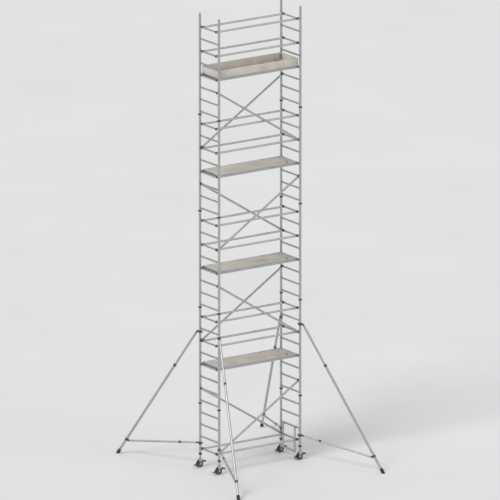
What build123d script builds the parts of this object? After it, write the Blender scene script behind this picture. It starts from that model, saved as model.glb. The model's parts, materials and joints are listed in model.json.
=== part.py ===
from build123d import *
import os
from math import atan2, cos, degrees, hypot, radians, sin

# Mobile tower scaffold: five pairs of aluminium ladder frames on four castors, with hook-on
# braces, four trapdoor platforms, toe boards on the top one and four telescopic stabilisers.
# X runs along the platforms, Y across the ladders, Z up; the origin is on the floor at the middle.

os.makedirs("parts", exist_ok=True)

# ---- plan and lifts
frame_spacing = 1980  # between the two ladder frames, rung axis to rung axis
post_spacing = 674  # between the two posts of a ladder frame
frame_foot = 300  # underside of the lowest posts
rung_pitch = 250
first_rung = 100  # lowest rung above the foot of its frame
base_rungs = 4
lift_rungs = 8
lift_count = 4

# ---- tubes
post_d = 50
post_wall = 2.5
rung_d = 38
rung_wall = 2.5
rung_saddle = 3  # rung end let into the round of the post
brace_d = 42
brace_wall = 2
weld_gap = 0.2  # root gap between pieces that are welded, riveted or pressed together
seat_gap = 0.3  # gap between pieces that hang, hook or slide on each other
pin_fit = 0.06  # radial clearance of a pin in a hinge eye

# ---- spigots that join one frame to the next, and their locking clips
spigot_wall = 3
spigot_in = 120
spigot_out = 130
spigot_round = 6
clip_pin_d = 8
clip_height = 40  # clip pin above the joint between two posts
clip_wide = 26
clip_thick = 9
clip_ear = 11
clip_ear_width = 14
clip_pin_past = 2  # clip pin beyond the inside of the spigot's wall

# ---- hook-on claws of the ledgers, guardrails and diagonals
claw_wall = 8
claw_shoulder = 3  # the jaw is that much narrower than its brace on each side
claw_neck = 48  # rung axis to the end of the brace tube
claw_plug = 30
claw_root = 1  # neck starts that far beyond the jaw's bore
claw_jaw_drop = 8  # how far the jaw reaches below the rung axis
claw_gap = 1  # between a post and the claw beside it
ledger_gap = 1  # between a diagonal and the ledger that it crosses
latch_width = 16
latch_wall = 6
latch_tab = 14
latch_tab_thick = 8

# ---- platforms
platform_rungs = (7, 15, 23, 31)  # rungs, counted from the lowest, that carry a platform
rail_rungs = (0, 9, 11, 17, 19, 25, 27, 33, 35)  # rungs that carry a ledger or guardrail
diagonal_rungs = ((0, 5), (14, 9), (17, 22), (30, 25))  # front face, left rung and right rung
platform_gap = 12  # between the platform's edge and the line of the posts' inner faces
beam_width = 20
beam_wall = 2.5
beam_drop = 5  # underside of the platform below the rung axis
beam_height = 56
beam_end_gap = 6  # between the end beam and the rung
deck_thick = 9
deck_recess = 1
hook_width = 40
hook_wall = 6.5
hook_inset = 30  # platform edge to hook centre
hatch_length = 590
hatch_width = 440
hatch_end = 60  # hatch opening to the end of the platform
hatch_gap = 4
hatch_thick = 12
hatch_lip = 14  # width of the ledge that the hatch rests on
hinge_pin_d = 8
hinge_knuckle_d = 16
hinge_width = 60
hinge_ear = 6
hinge_play = 1  # between the knuckle and the ears beside it
hinge_from_left = 130  # hatch end to hinge centre
hinge_from_right = 106
strap_thick = 4
strap_length = 70
lift_slot_inset = 45
lift_slot_length = 120
lift_slot_width = 32
cross_beams = 3

# ---- toe boards of the top platform
toe_height = 150
toe_thick = 25
toe_inset = 2

# ---- entry step hung inside the right ladder frame
step_drop = 250  # step rung below the lowest frame rung
step_gap = 5  # between the step's side tubes and the lowest ledgers
step_tube_d = 38
step_bar_wall = 6
step_tube_foot = 4  # side tube below the step rung
step_tang = 40  # hook's tang inside the side tube
step_tang_play = 4

# ---- castors
wheel_d = 150
wheel_width = 45
wheel_core_d = 116
wheel_hub_d = 44
wheel_web = 14
wheel_rim = 8
wheel_rim_inset = 3  # rim narrower than the tyre on each side
wheel_lap = 2  # web let into the rim and short of the axle
tyre_round = 6
hub_play = 1  # hub to fork plate
axle_d = 12
caster_trail = 15
fork_gap = 4
fork_plate = 5
fork_top_clear = 8
fork_corner = 8
fork_front_drop = 12
cup_d = 64
cup_height = 16
bearing_gap = 1.5
flange_height = 7
flange_inset = 2  # flange narrower than the cup all round
kingpin_d = 16
kingpin_head = 5
kingpin_head_lap = 3
leg_d = 38
leg_wall = 5
leg_solid = 20  # solid foot of the leg above its flange
leg_inside = 350  # castor leg inside the post
nut_height = 38
nut_hub_d = 60
nut_wing_span = 112
nut_wing_width = 26
nut_chamfer = 1
fork_plate_length = 84
fork_eye_r = 22
axle_head = 8
axle_head_r = 10.5
pedal_pivot_x = 0
pedal_stub_d = 12
pedal_plate = 4
pedal_gap = 1  # between the fork and the pedal's cheeks
pedal_bar = 16
pedal_pad = 30
pedal_eye_wall = 5
pedal_round = 5
pedal_low_clear = 17  # between the tyre and the low pad
pedal_low_drop = 25  # low pad below the axle
pedal_high_clear = 39  # between the tyre and the high pad
shoe_d = 12
shoe_gap = 4.5
shoe_angle = 30  # brake shoe above the level of the axle
shoe_above_arm = 5.75

# ---- stabilisers
coupler_z_high = 2830
coupler_z_low = 505
coupler_height = 56
coupler_wall = 9
coupler_reach = 70  # post axis to the pin
cheek = 8
tang = 10
pin_d = 12
eye_r = 16
eye_neck = 14  # eye's rim to the end of the tube and its plug
plug_lap = 4  # flat bar let into the plug
plug_long = 30
pin_end = 6  # pin beyond the cheeks on each side
foot_x = 780  # foot beyond its post, along the tower
foot_y = 1820  # foot beyond its post, across the tower
stab_outer_d = 50
stab_outer_wall = 2.5
stab_inner_wall = 2.5
stab_collar_at = 948
stab_overlap = 450
collar_wall = 4
collar_long = 50
lock_pin_d = 12
lock_pin_long = 22
strut_outer_d = 42
strut_wall = 2.5
strut_collar_at = 416  # from the lower coupler
strut_overlap = 360
bracket_at = 396  # strut bracket to foot, along the leg
bracket_arm = 50
bracket_long = 48
bracket_wall = 6
foot_d = 62
foot_long = 110
foot_sole = 45
open_pin_gap = 2.5  # radial play of the strut eye on the lower coupler's pin

# ---- derived places
half_length = frame_spacing / 2
half_width = post_spacing / 2
post_r = post_d / 2
bore_r = post_r - post_wall
rung_r = rung_d / 2
brace_r = brace_d / 2
base_height = base_rungs * rung_pitch
lift_height = lift_rungs * rung_pitch
claw_width = brace_d - 2 * claw_shoulder
diagonal_inset = post_r + claw_gap + claw_width / 2
ledger_inset = diagonal_inset + brace_d + ledger_gap
platform_width = post_spacing - post_d - 2 * platform_gap
corners = {
    "front_left": (-1, -1),
    "front_right": (1, -1),
    "back_left": (-1, 1),
    "back_right": (1, 1),
}


def rung_z(number):
    """Height of a rung's axis, counted from the lowest rung of the tower."""
    return frame_foot + first_rung + number * rung_pitch


def joint_z(level):
    """Height of the joint above the base frame (level 0) or above a lift (level 1 and up)."""
    return frame_foot + base_height + level * lift_height


def save(builder, name):
    """Label a finished sub-part and write it as its own file."""
    builder.part.label = name
    export_step(builder.part, f"parts/{name}.step")


def tube_piece(plane, start, end, outer_d, wall):
    """A straight tube along a plane's normal, from one distance to another."""
    with BuildPart() as piece:
        with BuildSketch(plane.offset(start)):
            Circle(outer_d / 2)
            Circle(outer_d / 2 - wall, mode=Mode.SUBTRACT)
        extrude(amount=end - start)
    return piece.part


# ---- ladder frames: posts and the rungs welded between them
def post_piece(bottom, top, pinned):
    """One post; all but the lowest have a clip hole near the foot, through the wall facing +X."""
    with BuildPart() as piece:
        add(tube_piece(Plane.XY, bottom, top, post_d, post_wall))
        if pinned:
            with BuildSketch(Plane.YZ):
                with Locations((0, bottom + clip_height)):
                    Circle(clip_pin_d / 2 + weld_gap)
            extrude(amount=post_d, mode=Mode.SUBTRACT)
    return piece.part


def rung_piece():
    """One rung along Y, its ends saddle-cut to the round of the posts."""
    half = half_width - post_r + rung_saddle
    with BuildPart() as piece:
        add(tube_piece(Plane.XZ, -half, half, rung_d, rung_wall))
        with BuildSketch(Plane.XY.offset(-rung_d)):
            with Locations((0, half_width), (0, -half_width)):
                Circle(post_r + weld_gap)
        extrude(amount=2 * rung_d, mode=Mode.SUBTRACT)
    return piece.part


def ladder_frames(bottom, rungs, pinned):
    """The left and right frames of one lift."""
    top = bottom + rungs * rung_pitch
    with BuildPart() as frames:
        for turn in (0, 180):
            spots = [Location((half_length, side * half_width, 0)) for side in (-1, 1)]
            with Locations(Location((0, 0, 0), (0, 0, turn))):
                with Locations(*spots):
                    add(post_piece(bottom, top, pinned))
            levels = [(half_length, 0, bottom + first_rung + n * rung_pitch) for n in range(rungs)]
            with Locations(Location((0, 0, 0), (0, 0, turn))):
                with Locations(*levels):
                    add(rung_piece())
    return frames


base_frames = ladder_frames(frame_foot, base_rungs, False)
save(base_frames, "base_frames")

for level in range(lift_count):
    lift_frames = ladder_frames(joint_z(level), lift_rungs, True)
    save(lift_frames, f"lift_frames_{level + 1}")

# ---- spigots: pressed into the top of each post, with a rounded nose for the next frame
socket_r = bore_r - seat_gap
with BuildPart() as spigot:
    with BuildSketch():
        Circle(bore_r - weld_gap / 4)
    extrude(amount=-spigot_in)
    with BuildSketch():
        Circle(socket_r)
    extrude(amount=spigot_out)
    fillet(spigot.edges().sort_by(Axis.Z)[-1], spigot_round)
    with BuildSketch(Plane.XY.offset(-spigot_in)):
        Circle(socket_r - spigot_wall)
    extrude(amount=spigot_in + spigot_out - spigot_wall, mode=Mode.SUBTRACT)
    with BuildSketch(Plane.YZ):
        with Locations((0, clip_height)):
            Circle(clip_pin_d / 2 + weld_gap)
    extrude(amount=post_d, mode=Mode.SUBTRACT)


def facing_out(sx, sy, height):
    """A spot on a post's axis, turned so that local +X faces away from the tower's middle."""
    return Location((sx * half_length, sy * half_width, height), (0, 0, 0 if sx > 0 else 180))


joint_levels = [joint_z(level) for level in range(lift_count + 1)]
with BuildPart() as frame_spigots:
    with Locations(*[facing_out(sx, sy, z) for sx, sy in corners.values() for z in joint_levels]):
        add(spigot.part)
save(frame_spigots, "frame_spigots")

# ---- locking clips: a ring round the post's foot with a pin through post and spigot
clip_r = post_r + weld_gap + clip_thick
with BuildPart() as clip:
    with BuildSketch(Plane.XY.offset(clip_height - clip_wide / 2)):
        Circle(clip_r)
        with Locations((clip_r, 0)):
            Rectangle(2 * clip_ear, clip_ear_width)
        Circle(post_r + weld_gap, mode=Mode.SUBTRACT)
    extrude(amount=clip_wide)
    with BuildSketch(Plane.YZ.offset(socket_r - spigot_wall - clip_pin_past)):
        with Locations((0, clip_height)):
            Circle(clip_pin_d / 2)
    extrude(until=Until.NEXT)

with BuildPart() as frame_clips:
    spots = [facing_out(sx, sy, z) for sx, sy in corners.values() for z in joint_levels[:-1]]
    with Locations(*spots):
        add(clip.part)
save(frame_clips, "frame_clips")

# ---- horizontal braces and diagonals: tubes between the claws
brace_end = half_length - claw_neck - weld_gap
with BuildPart() as horizontal_braces:
    rails = [
        (0, sy * (half_width - ledger_inset), rung_z(number))
        for sy in (-1, 1)
        for number in rail_rungs
    ]
    with Locations(*rails):
        add(tube_piece(Plane.YZ, -brace_end, brace_end, brace_d, brace_wall))
save(horizontal_braces, "horizontal_braces")


def diagonal_runs():
    """Each diagonal as its Y place, left height and right height; the back ones cross the front."""
    runs = []
    for left, right in diagonal_rungs:
        runs.append((diagonal_inset - half_width, rung_z(left), rung_z(right)))
        runs.append((half_width - diagonal_inset, rung_z(right), rung_z(left)))
    return runs


with BuildPart() as diagonal_braces:
    for y, z_left, z_right in diagonal_runs():
        rise = z_right - z_left
        reach = hypot(frame_spacing, rise) / 2 - claw_neck - weld_gap
        line = Plane(origin=(0, y, (z_left + z_right) / 2), z_dir=(frame_spacing, 0, rise))
        add(tube_piece(line, -reach, reach, brace_d, brace_wall))
save(diagonal_braces, "diagonal_braces")


# ---- claws: a cast jaw that drops over the rung, with a neck plugged into the brace tube
def claw_piece(slope):
    """A claw on a rung along Y at the origin; its neck leaves towards +X at a slope in degrees."""
    jaw_r = rung_r + seat_gap
    neck = Plane(origin=(0, 0, 0), z_dir=(cos(radians(slope)), 0, sin(radians(slope))))
    with BuildPart() as piece:
        with BuildSketch(Plane.XZ.offset(-claw_width / 2)):
            Circle(jaw_r + claw_wall)
        extrude(amount=claw_width)
        with BuildSketch(neck.offset(jaw_r + claw_root)):
            Circle(brace_r)
        extrude(amount=claw_neck - jaw_r - claw_root)
        with BuildSketch(neck.offset(claw_neck)):
            Circle(brace_r - brace_wall - weld_gap)
        extrude(amount=claw_plug)
        with BuildSketch(Plane.XZ.offset(-brace_d)):
            Circle(jaw_r)
            with Locations((0, -claw_jaw_drop - rung_d)):
                Rectangle(2 * (jaw_r + claw_wall), 2 * rung_d)
        extrude(amount=2 * brace_d, mode=Mode.SUBTRACT)
    return piece.part


def latch_piece(slope):
    """The latch that closes a claw below the rung, with its thumb tab away from the neck."""
    inner = rung_r + seat_gap
    outer = inner + latch_wall
    neck = Plane(origin=(0, 0, 0), z_dir=(cos(radians(slope)), 0, sin(radians(slope))))
    with BuildPart() as piece:
        with BuildSketch(Plane.XZ.offset(-latch_width / 2)):
            Circle(outer)
            with Locations((latch_wall - outer - latch_tab / 2, -claw_jaw_drop - latch_tab_thick)):
                Rectangle(latch_tab, latch_tab_thick)
            Circle(inner, mode=Mode.SUBTRACT)
            with Locations((0, rung_d - claw_jaw_drop - weld_gap)):
                Rectangle(3 * rung_d, 2 * rung_d, mode=Mode.SUBTRACT)
        extrude(amount=latch_width)
        with BuildSketch(neck.offset(inner)):
            Circle(brace_r + weld_gap)
        extrude(amount=claw_neck, mode=Mode.SUBTRACT)
    return piece.part


def claw_spots(y, height, side):
    """A claw's spot on the left (-1) or right (1) frame, its neck facing the tower's middle."""
    return Location((side * half_length, y, height), (0, 0, 0 if side < 0 else 180))


level_spots = [claw_spots(y, z, side) for _, y, z in rails for side in (-1, 1)]
rising_spots = []
falling_spots = []
slopes = []
for y, z_left, z_right in diagonal_runs():
    low_left = z_right > z_left
    rising_spots.append(claw_spots(y, min(z_left, z_right), -1 if low_left else 1))
    falling_spots.append(claw_spots(y, max(z_left, z_right), 1 if low_left else -1))
    slopes.append(degrees(atan2(abs(z_right - z_left), frame_spacing)))

with BuildPart() as brace_claws:
    with Locations(*level_spots):
        add(claw_piece(0))
    for spot_low, spot_high, slope in zip(rising_spots, falling_spots, slopes):
        with Locations(spot_low):
            add(claw_piece(slope))
        with Locations(spot_high):
            add(claw_piece(-slope))
save(brace_claws, "brace_claws")

with BuildPart() as claw_latches:
    with Locations(*level_spots):
        add(latch_piece(0))
    for spot_low, spot_high, slope in zip(rising_spots, falling_spots, slopes):
        with Locations(spot_low):
            add(latch_piece(slope))
        with Locations(spot_high):
            add(latch_piece(-slope))
save(claw_latches, "claw_latches")

# ---- platforms: a frame of box beams, hooks, a fixed deck and a trapdoor at the right end
beam_end = half_length - rung_r - beam_end_gap
half_platform = platform_width / 2
half_clear = half_platform - beam_width
beam_top = beam_height - beam_drop
deck_top = beam_top - deck_recess
deck_under = deck_top - deck_thick
hatch_x1 = beam_end - hatch_end
hatch_x0 = hatch_x1 - hatch_length
half_hatch = hatch_width / 2
hatch_under = deck_top - hatch_thick
lip_height = hatch_under - seat_gap + beam_drop
hinge_y = half_hatch + hinge_knuckle_d / 2 + hatch_gap
hinge_z = deck_top + hinge_knuckle_d / 2 + seat_gap
hinge_xs = (hatch_x0 + hinge_from_left, hatch_x1 - hinge_from_right)
platform_spots = [(0, 0, rung_z(number)) for number in platform_rungs]


def slab(x0, x1, y0, y1, z0, z1):
    """A square-edged block between two corners."""
    with BuildPart() as piece:
        with BuildSketch(Plane.XY.offset(z0)):
            with Locations(((x0 + x1) / 2, (y0 + y1) / 2)):
                Rectangle(x1 - x0, y1 - y0)
        extrude(amount=z1 - z0)
    return piece.part


def box_beam(x0, x1, y0, y1, z0, z1):
    """A box section between two corners, open at both ends of its length."""
    w = beam_wall
    with BuildPart() as piece:
        add(slab(x0, x1, y0, y1, z0, z1))
        if x1 - x0 > y1 - y0:
            add(slab(x0, x1, y0 + w, y1 - w, z0 + w, z1 - w), mode=Mode.SUBTRACT)
        else:
            add(slab(x0 + w, x1 - w, y0, y1, z0 + w, z1 - w), mode=Mode.SUBTRACT)
    return piece.part


def hinge_bracket(x):
    """A foot on the deck beside the hinge knuckle, with the pin that the knuckle turns on."""
    half = hinge_width / 2
    with BuildPart() as piece:
        for side in (-1, 1):
            start = x - half - hinge_ear - hinge_play if side < 0 else x + half + hinge_play
            with BuildSketch(Plane.YZ.offset(start)):
                with Locations((hinge_y, hinge_z)):
                    Circle(hinge_knuckle_d / 2)
                with Locations((hinge_y, (deck_top + weld_gap + hinge_z) / 2)):
                    Rectangle(hinge_knuckle_d, hinge_z - deck_top - weld_gap)
            extrude(amount=hinge_ear)
        with BuildSketch(Plane.YZ.offset(x - half - hinge_ear)):
            with Locations((hinge_y, hinge_z)):
                Circle(hinge_pin_d / 2)
        extrude(amount=2 * (half + hinge_ear))
    return piece.part


with BuildPart() as platform_frame:
    for sy in (-1, 1):
        y0, y1 = sorted((sy * half_clear, sy * half_platform))
        add(box_beam(-beam_end, beam_end, y0, y1, -beam_drop, beam_top))
    reach = half_clear - weld_gap
    for x0 in (-beam_end, beam_end - beam_width):
        add(box_beam(x0, x0 + beam_width, -reach, reach, -beam_drop, beam_top))
    left_bay = hatch_x0 - hatch_gap + beam_end
    for n in range(cross_beams):
        x = -beam_end + left_bay * (n + 1) / (cross_beams + 1)
        x0 = x - beam_width / 2
        add(box_beam(x0, x0 + beam_width, -reach, reach, -beam_drop, deck_under - weld_gap))
    lip_top = lip_height - beam_drop
    lip_x0 = hatch_x0 - hatch_gap - beam_width
    lip_x1 = hatch_x1 - hatch_lip
    add(box_beam(lip_x0, hatch_x0 + hatch_lip, -reach, reach, -beam_drop, lip_top))
    add(box_beam(lip_x1, beam_end - beam_width - weld_gap, -reach, reach, -beam_drop, lip_top))
    inner = half_hatch - hatch_lip
    for sy in (-1, 1):
        y0, y1 = sorted((sy * inner, sy * (half_hatch + hatch_gap + beam_width)))
        add(box_beam(hatch_x0 + hatch_lip + weld_gap, lip_x1 - weld_gap, y0, y1, -beam_drop, lip_top))
    for x in hinge_xs:
        add(hinge_bracket(x))

with BuildPart() as platform_frames:
    with Locations(*platform_spots):
        add(platform_frame.part)
save(platform_frames, "platform_frames")

deck_x0 = -beam_end + beam_width + weld_gap
deck_x1 = beam_end - beam_width - weld_gap
deck_y = half_clear - weld_gap
with BuildPart() as deck:
    add(slab(deck_x0, hatch_x0 - hatch_gap, -deck_y, deck_y, deck_under, deck_top))
    side_x0 = hatch_x0 - hatch_gap + weld_gap
    add(slab(side_x0, deck_x1, -deck_y, -half_hatch - hatch_gap, lip_top + weld_gap, deck_top))
    add(slab(side_x0, deck_x1, half_hatch + hatch_gap, deck_y, lip_top + weld_gap, deck_top))
    end_y = half_hatch + hatch_gap - weld_gap
    add(slab(hatch_x1 + hatch_gap, deck_x1, -end_y, end_y, lip_top + weld_gap, deck_top))

with BuildPart() as platform_decks:
    with Locations(*platform_spots):
        add(deck.part)
save(platform_decks, "platform_decks")

with BuildPart() as hook:
    hook_r = rung_r + seat_gap
    with BuildSketch(Plane.XZ.offset(-hook_width / 2)):
        Circle(hook_r + hook_wall)
        with Locations((-rung_r - beam_end_gap / 2, 0)):
            Rectangle(beam_end_gap - 2 * weld_gap, 2 * (hook_r + hook_wall))
        Circle(hook_r, mode=Mode.SUBTRACT)
        with Locations((0, -beam_drop - rung_d)):
            Rectangle(4 * rung_d, 2 * rung_d, mode=Mode.SUBTRACT)
        with Locations((-rung_r - beam_end_gap + weld_gap - rung_d, 0)):
            Rectangle(2 * rung_d, 4 * rung_d, mode=Mode.SUBTRACT)
    extrude(amount=hook_width)

with BuildPart() as platform_hooks:
    hook_spots = [
        Location((sx * half_length, sy * (half_platform - hook_inset), z), (0, 0, 0 if sx > 0 else 180))
        for sx in (-1, 1)
        for sy in (-1, 1)
        for _, _, z in platform_spots
    ]
    with Locations(*hook_spots):
        add(hook.part)
save(platform_hooks, "platform_hooks")

# ---- hatches: a panel with two hinge straps on top and a lift hole near the front edge
panel_x0 = hatch_x0 + seat_gap
panel_x1 = hatch_x1 - seat_gap
for number, (_, _, floor_z) in enumerate(platform_spots, start=1):
    with BuildPart() as hatch:
        add(slab(panel_x0, panel_x1, -half_hatch + seat_gap, half_hatch - seat_gap, hatch_under, deck_top))
        with BuildSketch(Plane.XY.offset(hatch_under)):
            with Locations(((panel_x0 + panel_x1) / 2, lift_slot_inset - half_hatch)):
                SlotOverall(lift_slot_length, lift_slot_width)
        extrude(amount=hatch_thick, mode=Mode.SUBTRACT)
        for x in hinge_xs:
            with BuildSketch(Plane.YZ.offset(x - hinge_width / 2)):
                with Locations((hinge_y, hinge_z)):
                    Circle(hinge_knuckle_d / 2)
                strap_y0 = half_hatch - strap_length
                with Locations(((strap_y0 + hinge_y) / 2, deck_top + strap_thick / 2)):
                    Rectangle(hinge_y - strap_y0, strap_thick)
                with Locations((hinge_y, hinge_z)):
                    Circle(hinge_pin_d / 2 + pin_fit, mode=Mode.SUBTRACT)
                with Locations((half_hatch + hinge_knuckle_d, deck_top)):
                    Rectangle(2 * hinge_knuckle_d, 2 * seat_gap, mode=Mode.SUBTRACT)
            extrude(amount=hinge_width)
    hatch.part.position = (0, 0, floor_z)
    save(hatch, f"hatch_{number}")

# ---- toe boards: two long and two short boards standing on the top deck
toe_floor = rung_z(platform_rungs[-1]) + beam_top + weld_gap
toe_y1 = half_platform - toe_inset
toe_y0 = toe_y1 - toe_thick
toe_end = beam_end - toe_inset
with BuildPart() as toe_boards:
    for sy in (-1, 1):
        y0, y1 = sorted((sy * toe_y0, sy * toe_y1))
        add(slab(-toe_end, toe_end, y0, y1, toe_floor, toe_floor + toe_height))
    for sx in (-1, 1):
        x0, x1 = sorted((sx * (toe_end - toe_thick), sx * toe_end))
        reach = toe_y0 - weld_gap
        add(slab(x0, x1, -reach, reach, toe_floor, toe_floor + toe_height))
save(toe_boards, "toe_boards")

# ---- entry step: two side tubes and a rung, hung by flat hooks on the second frame rung
step_r = step_tube_d / 2
step_x = half_length - rung_r - step_r - seat_gap
step_y = half_width - ledger_inset - brace_r - step_gap - step_r
step_rung_z = rung_z(0) - step_drop
step_tube_top = rung_z(1) - rung_r - step_bar_wall

with BuildPart() as step_rung:
    add(tube_piece(Plane.XZ, step_r - step_y, step_y - step_r, step_tube_d, rung_wall))
    with BuildSketch(Plane.XY.offset(-step_tube_d)):
        with Locations((0, step_y), (0, -step_y)):
            Circle(step_r + weld_gap)
    extrude(amount=2 * step_tube_d, mode=Mode.SUBTRACT)

with BuildPart() as step_hook:
    hook_outer = rung_r + seat_gap + step_bar_wall
    tang_x = step_x - half_length
    tang_wide = step_tube_d - 2 * rung_wall - step_tang_play
    tang_foot = step_tube_top - rung_z(1) - step_tang
    with BuildSketch(Plane.XZ.offset(-step_bar_wall)):
        Circle(hook_outer)
        with Locations((tang_x, (hook_outer + tang_foot) / 2)):
            Rectangle(tang_wide, hook_outer - tang_foot)
        with Locations((tang_x / 2, hook_outer / 2)):
            Rectangle(-tang_x, hook_outer)
        Circle(rung_r + seat_gap, mode=Mode.SUBTRACT)
        with Locations((rung_r, -hook_outer)):
            Rectangle(2 * hook_outer, 2 * rung_r, mode=Mode.SUBTRACT)
    extrude(amount=2 * step_bar_wall)

with BuildPart() as entry_step:
    with Locations((step_x, step_y, 0), (step_x, -step_y, 0)):
        foot = step_rung_z - step_r - step_tube_foot
        add(tube_piece(Plane.XY, foot, step_tube_top, step_tube_d, rung_wall))
    with Locations((step_x, 0, step_rung_z)):
        add(step_rung.part)
    with Locations((half_length, step_y, rung_z(1)), (half_length, -step_y, rung_z(1))):
        add(step_hook.part)
save(entry_step, "entry_step")

# ---- castors, each made on its post's axis with the wheel trailing towards -X
wheel_r = wheel_d / 2
fork_y = wheel_width / 2 + fork_gap
fork_outer = fork_y + fork_plate
plate_under = wheel_d + fork_top_clear
plate_top = plate_under + fork_plate + 1
cup_top = plate_top + cup_height
flange_under = cup_top + bearing_gap
flange_top = flange_under + flange_height
nut_top = frame_foot - weld_gap
leg_r = leg_d / 2
stub_long = pedal_plate + 3 * pedal_gap
shoe_reach = wheel_r + shoe_gap + shoe_d / 2
shoe_x = -caster_trail + shoe_reach * cos(radians(shoe_angle))
shoe_z = wheel_r + shoe_reach * sin(radians(shoe_angle))
arm_z = shoe_z - shoe_above_arm
low_x = -caster_trail - wheel_r - pedal_low_clear - pedal_pad / 2
low_z = wheel_r - pedal_low_drop
high_x = -caster_trail + wheel_r + pedal_high_clear + pedal_pad / 2

with BuildPart() as castor_leg:
    with BuildSketch(Plane.XY.offset(flange_under)):
        Circle(cup_d / 2 - flange_inset)
    extrude(amount=flange_height)
    with BuildSketch(Plane.XY.offset(flange_top)):
        Circle(leg_r)
    extrude(amount=frame_foot + leg_inside - flange_top)
    with BuildSketch(Plane.XY.offset(flange_top + leg_solid)):
        Circle(leg_r - leg_wall)
    extrude(amount=frame_foot + leg_inside - flange_top, mode=Mode.SUBTRACT)
    with BuildSketch(Plane.XY.offset(plate_under - seat_gap)):
        Circle(kingpin_d / 2)
    extrude(amount=flange_under - plate_under + seat_gap)
    with BuildSketch(Plane.XY.offset(plate_under - seat_gap - kingpin_head)):
        Circle(kingpin_d / 2 + kingpin_head_lap)
    extrude(amount=kingpin_head)

with BuildPart() as castor_nut:
    with BuildSketch(Plane.XY.offset(nut_top - nut_height)):
        Circle(nut_hub_d / 2)
        SlotOverall(nut_wing_span, nut_wing_width, rotation=90)
        Circle(leg_r + seat_gap, mode=Mode.SUBTRACT)
    extrude(amount=nut_height)
    chamfer(castor_nut.edges().filter_by(GeomType.CIRCLE).group_by(Axis.Z)[-1], nut_chamfer)

with BuildPart() as castor_fork:
    with BuildSketch(Plane.XY.offset(plate_under)):
        RectangleRounded(fork_plate_length, 2 * fork_outer, fork_corner)
        Circle(kingpin_d / 2 + seat_gap, mode=Mode.SUBTRACT)
    extrude(amount=plate_top - plate_under)
    with BuildSketch(Plane.XY.offset(plate_top)):
        Circle(cup_d / 2)
        Circle(kingpin_d / 2 + seat_gap, mode=Mode.SUBTRACT)
    extrude(amount=cup_height)
    for start in (fork_y, -fork_outer):
        with BuildSketch(Plane.XZ.offset(-start - fork_plate)):
            with Locations((-caster_trail, wheel_r)):
                Circle(fork_eye_r)
            with BuildLine():
                front = fork_plate_length / 2
                Polyline(
                    (-front, plate_top),
                    (front, plate_top),
                    (front, plate_under - fork_front_drop),
                    (fork_eye_r - caster_trail, wheel_r),
                    (-fork_eye_r - caster_trail, wheel_r),
                    close=True,
                )
            make_face()
            with Locations((-caster_trail, wheel_r)):
                Circle(axle_d / 2 + weld_gap, mode=Mode.SUBTRACT)
        extrude(amount=fork_plate)
        stub_from = fork_outer if start > 0 else -fork_outer - stub_long
        with BuildSketch(Plane.XZ.offset(-stub_from - stub_long)):
            with Locations((pedal_pivot_x, arm_z)):
                Circle(pedal_stub_d / 2)
        extrude(amount=stub_long)

with BuildPart() as castor_axle:
    with BuildSketch(Plane.XZ.offset(-fork_outer - axle_head - axle_d / 2)):
        with Locations((-caster_trail, wheel_r)):
            Circle(axle_d / 2)
    extrude(amount=2 * fork_outer + 2 * axle_head + axle_d / 2)
    for start in (-fork_outer - axle_head, fork_outer + weld_gap):
        with BuildSketch(Plane.XZ.offset(-start - axle_head + weld_gap)):
            with Locations((-caster_trail, wheel_r)):
                RegularPolygon(axle_head_r, 6)
        extrude(amount=axle_head - weld_gap)

with BuildPart() as castor_wheel:
    axis_point = (-caster_trail, wheel_r)
    core_r = wheel_core_d / 2
    for half, outer, inner in (
        (wheel_width / 2 - wheel_rim_inset, core_r - weld_gap, core_r - wheel_rim),
        (wheel_web / 2, core_r - wheel_rim + wheel_lap, axle_d / 2 + wheel_lap),
        (fork_y - hub_play, wheel_hub_d / 2, axle_d / 2 + pin_fit),
    ):
        with BuildSketch(Plane.XZ.offset(-half)):
            with Locations(axis_point):
                Circle(outer)
                Circle(inner, mode=Mode.SUBTRACT)
        extrude(amount=2 * half)
    with BuildSketch(Plane.XZ.offset(-fork_y)):
        with Locations(axis_point):
            Circle(axle_d / 2 + pin_fit)
    extrude(amount=2 * fork_y, mode=Mode.SUBTRACT)

with BuildPart() as castor_tyre:
    with BuildSketch(Plane.XZ.offset(-wheel_width / 2)):
        with Locations(axis_point):
            Circle(wheel_r)
            Circle(core_r, mode=Mode.SUBTRACT)
    extrude(amount=wheel_width)
    rims = castor_tyre.edges().filter_by(GeomType.CIRCLE).sort_by(SortBy.RADIUS)[-2:]
    fillet(rims, tyre_round)

cheek_y = fork_outer + pedal_gap
with BuildPart() as castor_pedal:
    for start in (cheek_y, -cheek_y - pedal_plate):
        with BuildSketch(Plane.XZ.offset(-start - pedal_plate)):
            with BuildLine():
                Line((low_x, low_z), (pedal_pivot_x, arm_z))
                Line((pedal_pivot_x, arm_z), (high_x, arm_z))
            trace(line_width=pedal_bar)
            with Locations((pedal_pivot_x, arm_z)):
                Circle(pedal_stub_d / 2 + pedal_eye_wall)
                Circle(pedal_stub_d / 2 + pin_fit, mode=Mode.SUBTRACT)
        extrude(amount=pedal_plate)
    with BuildSketch(Plane.XZ.offset(-cheek_y - pedal_plate)):
        with Locations((low_x, low_z), (high_x, arm_z)):
            RectangleRounded(pedal_pad, pedal_bar, pedal_round)
        with Locations((shoe_x, shoe_z)):
            Circle(shoe_d / 2)
    extrude(amount=2 * (cheek_y + pedal_plate))

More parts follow.
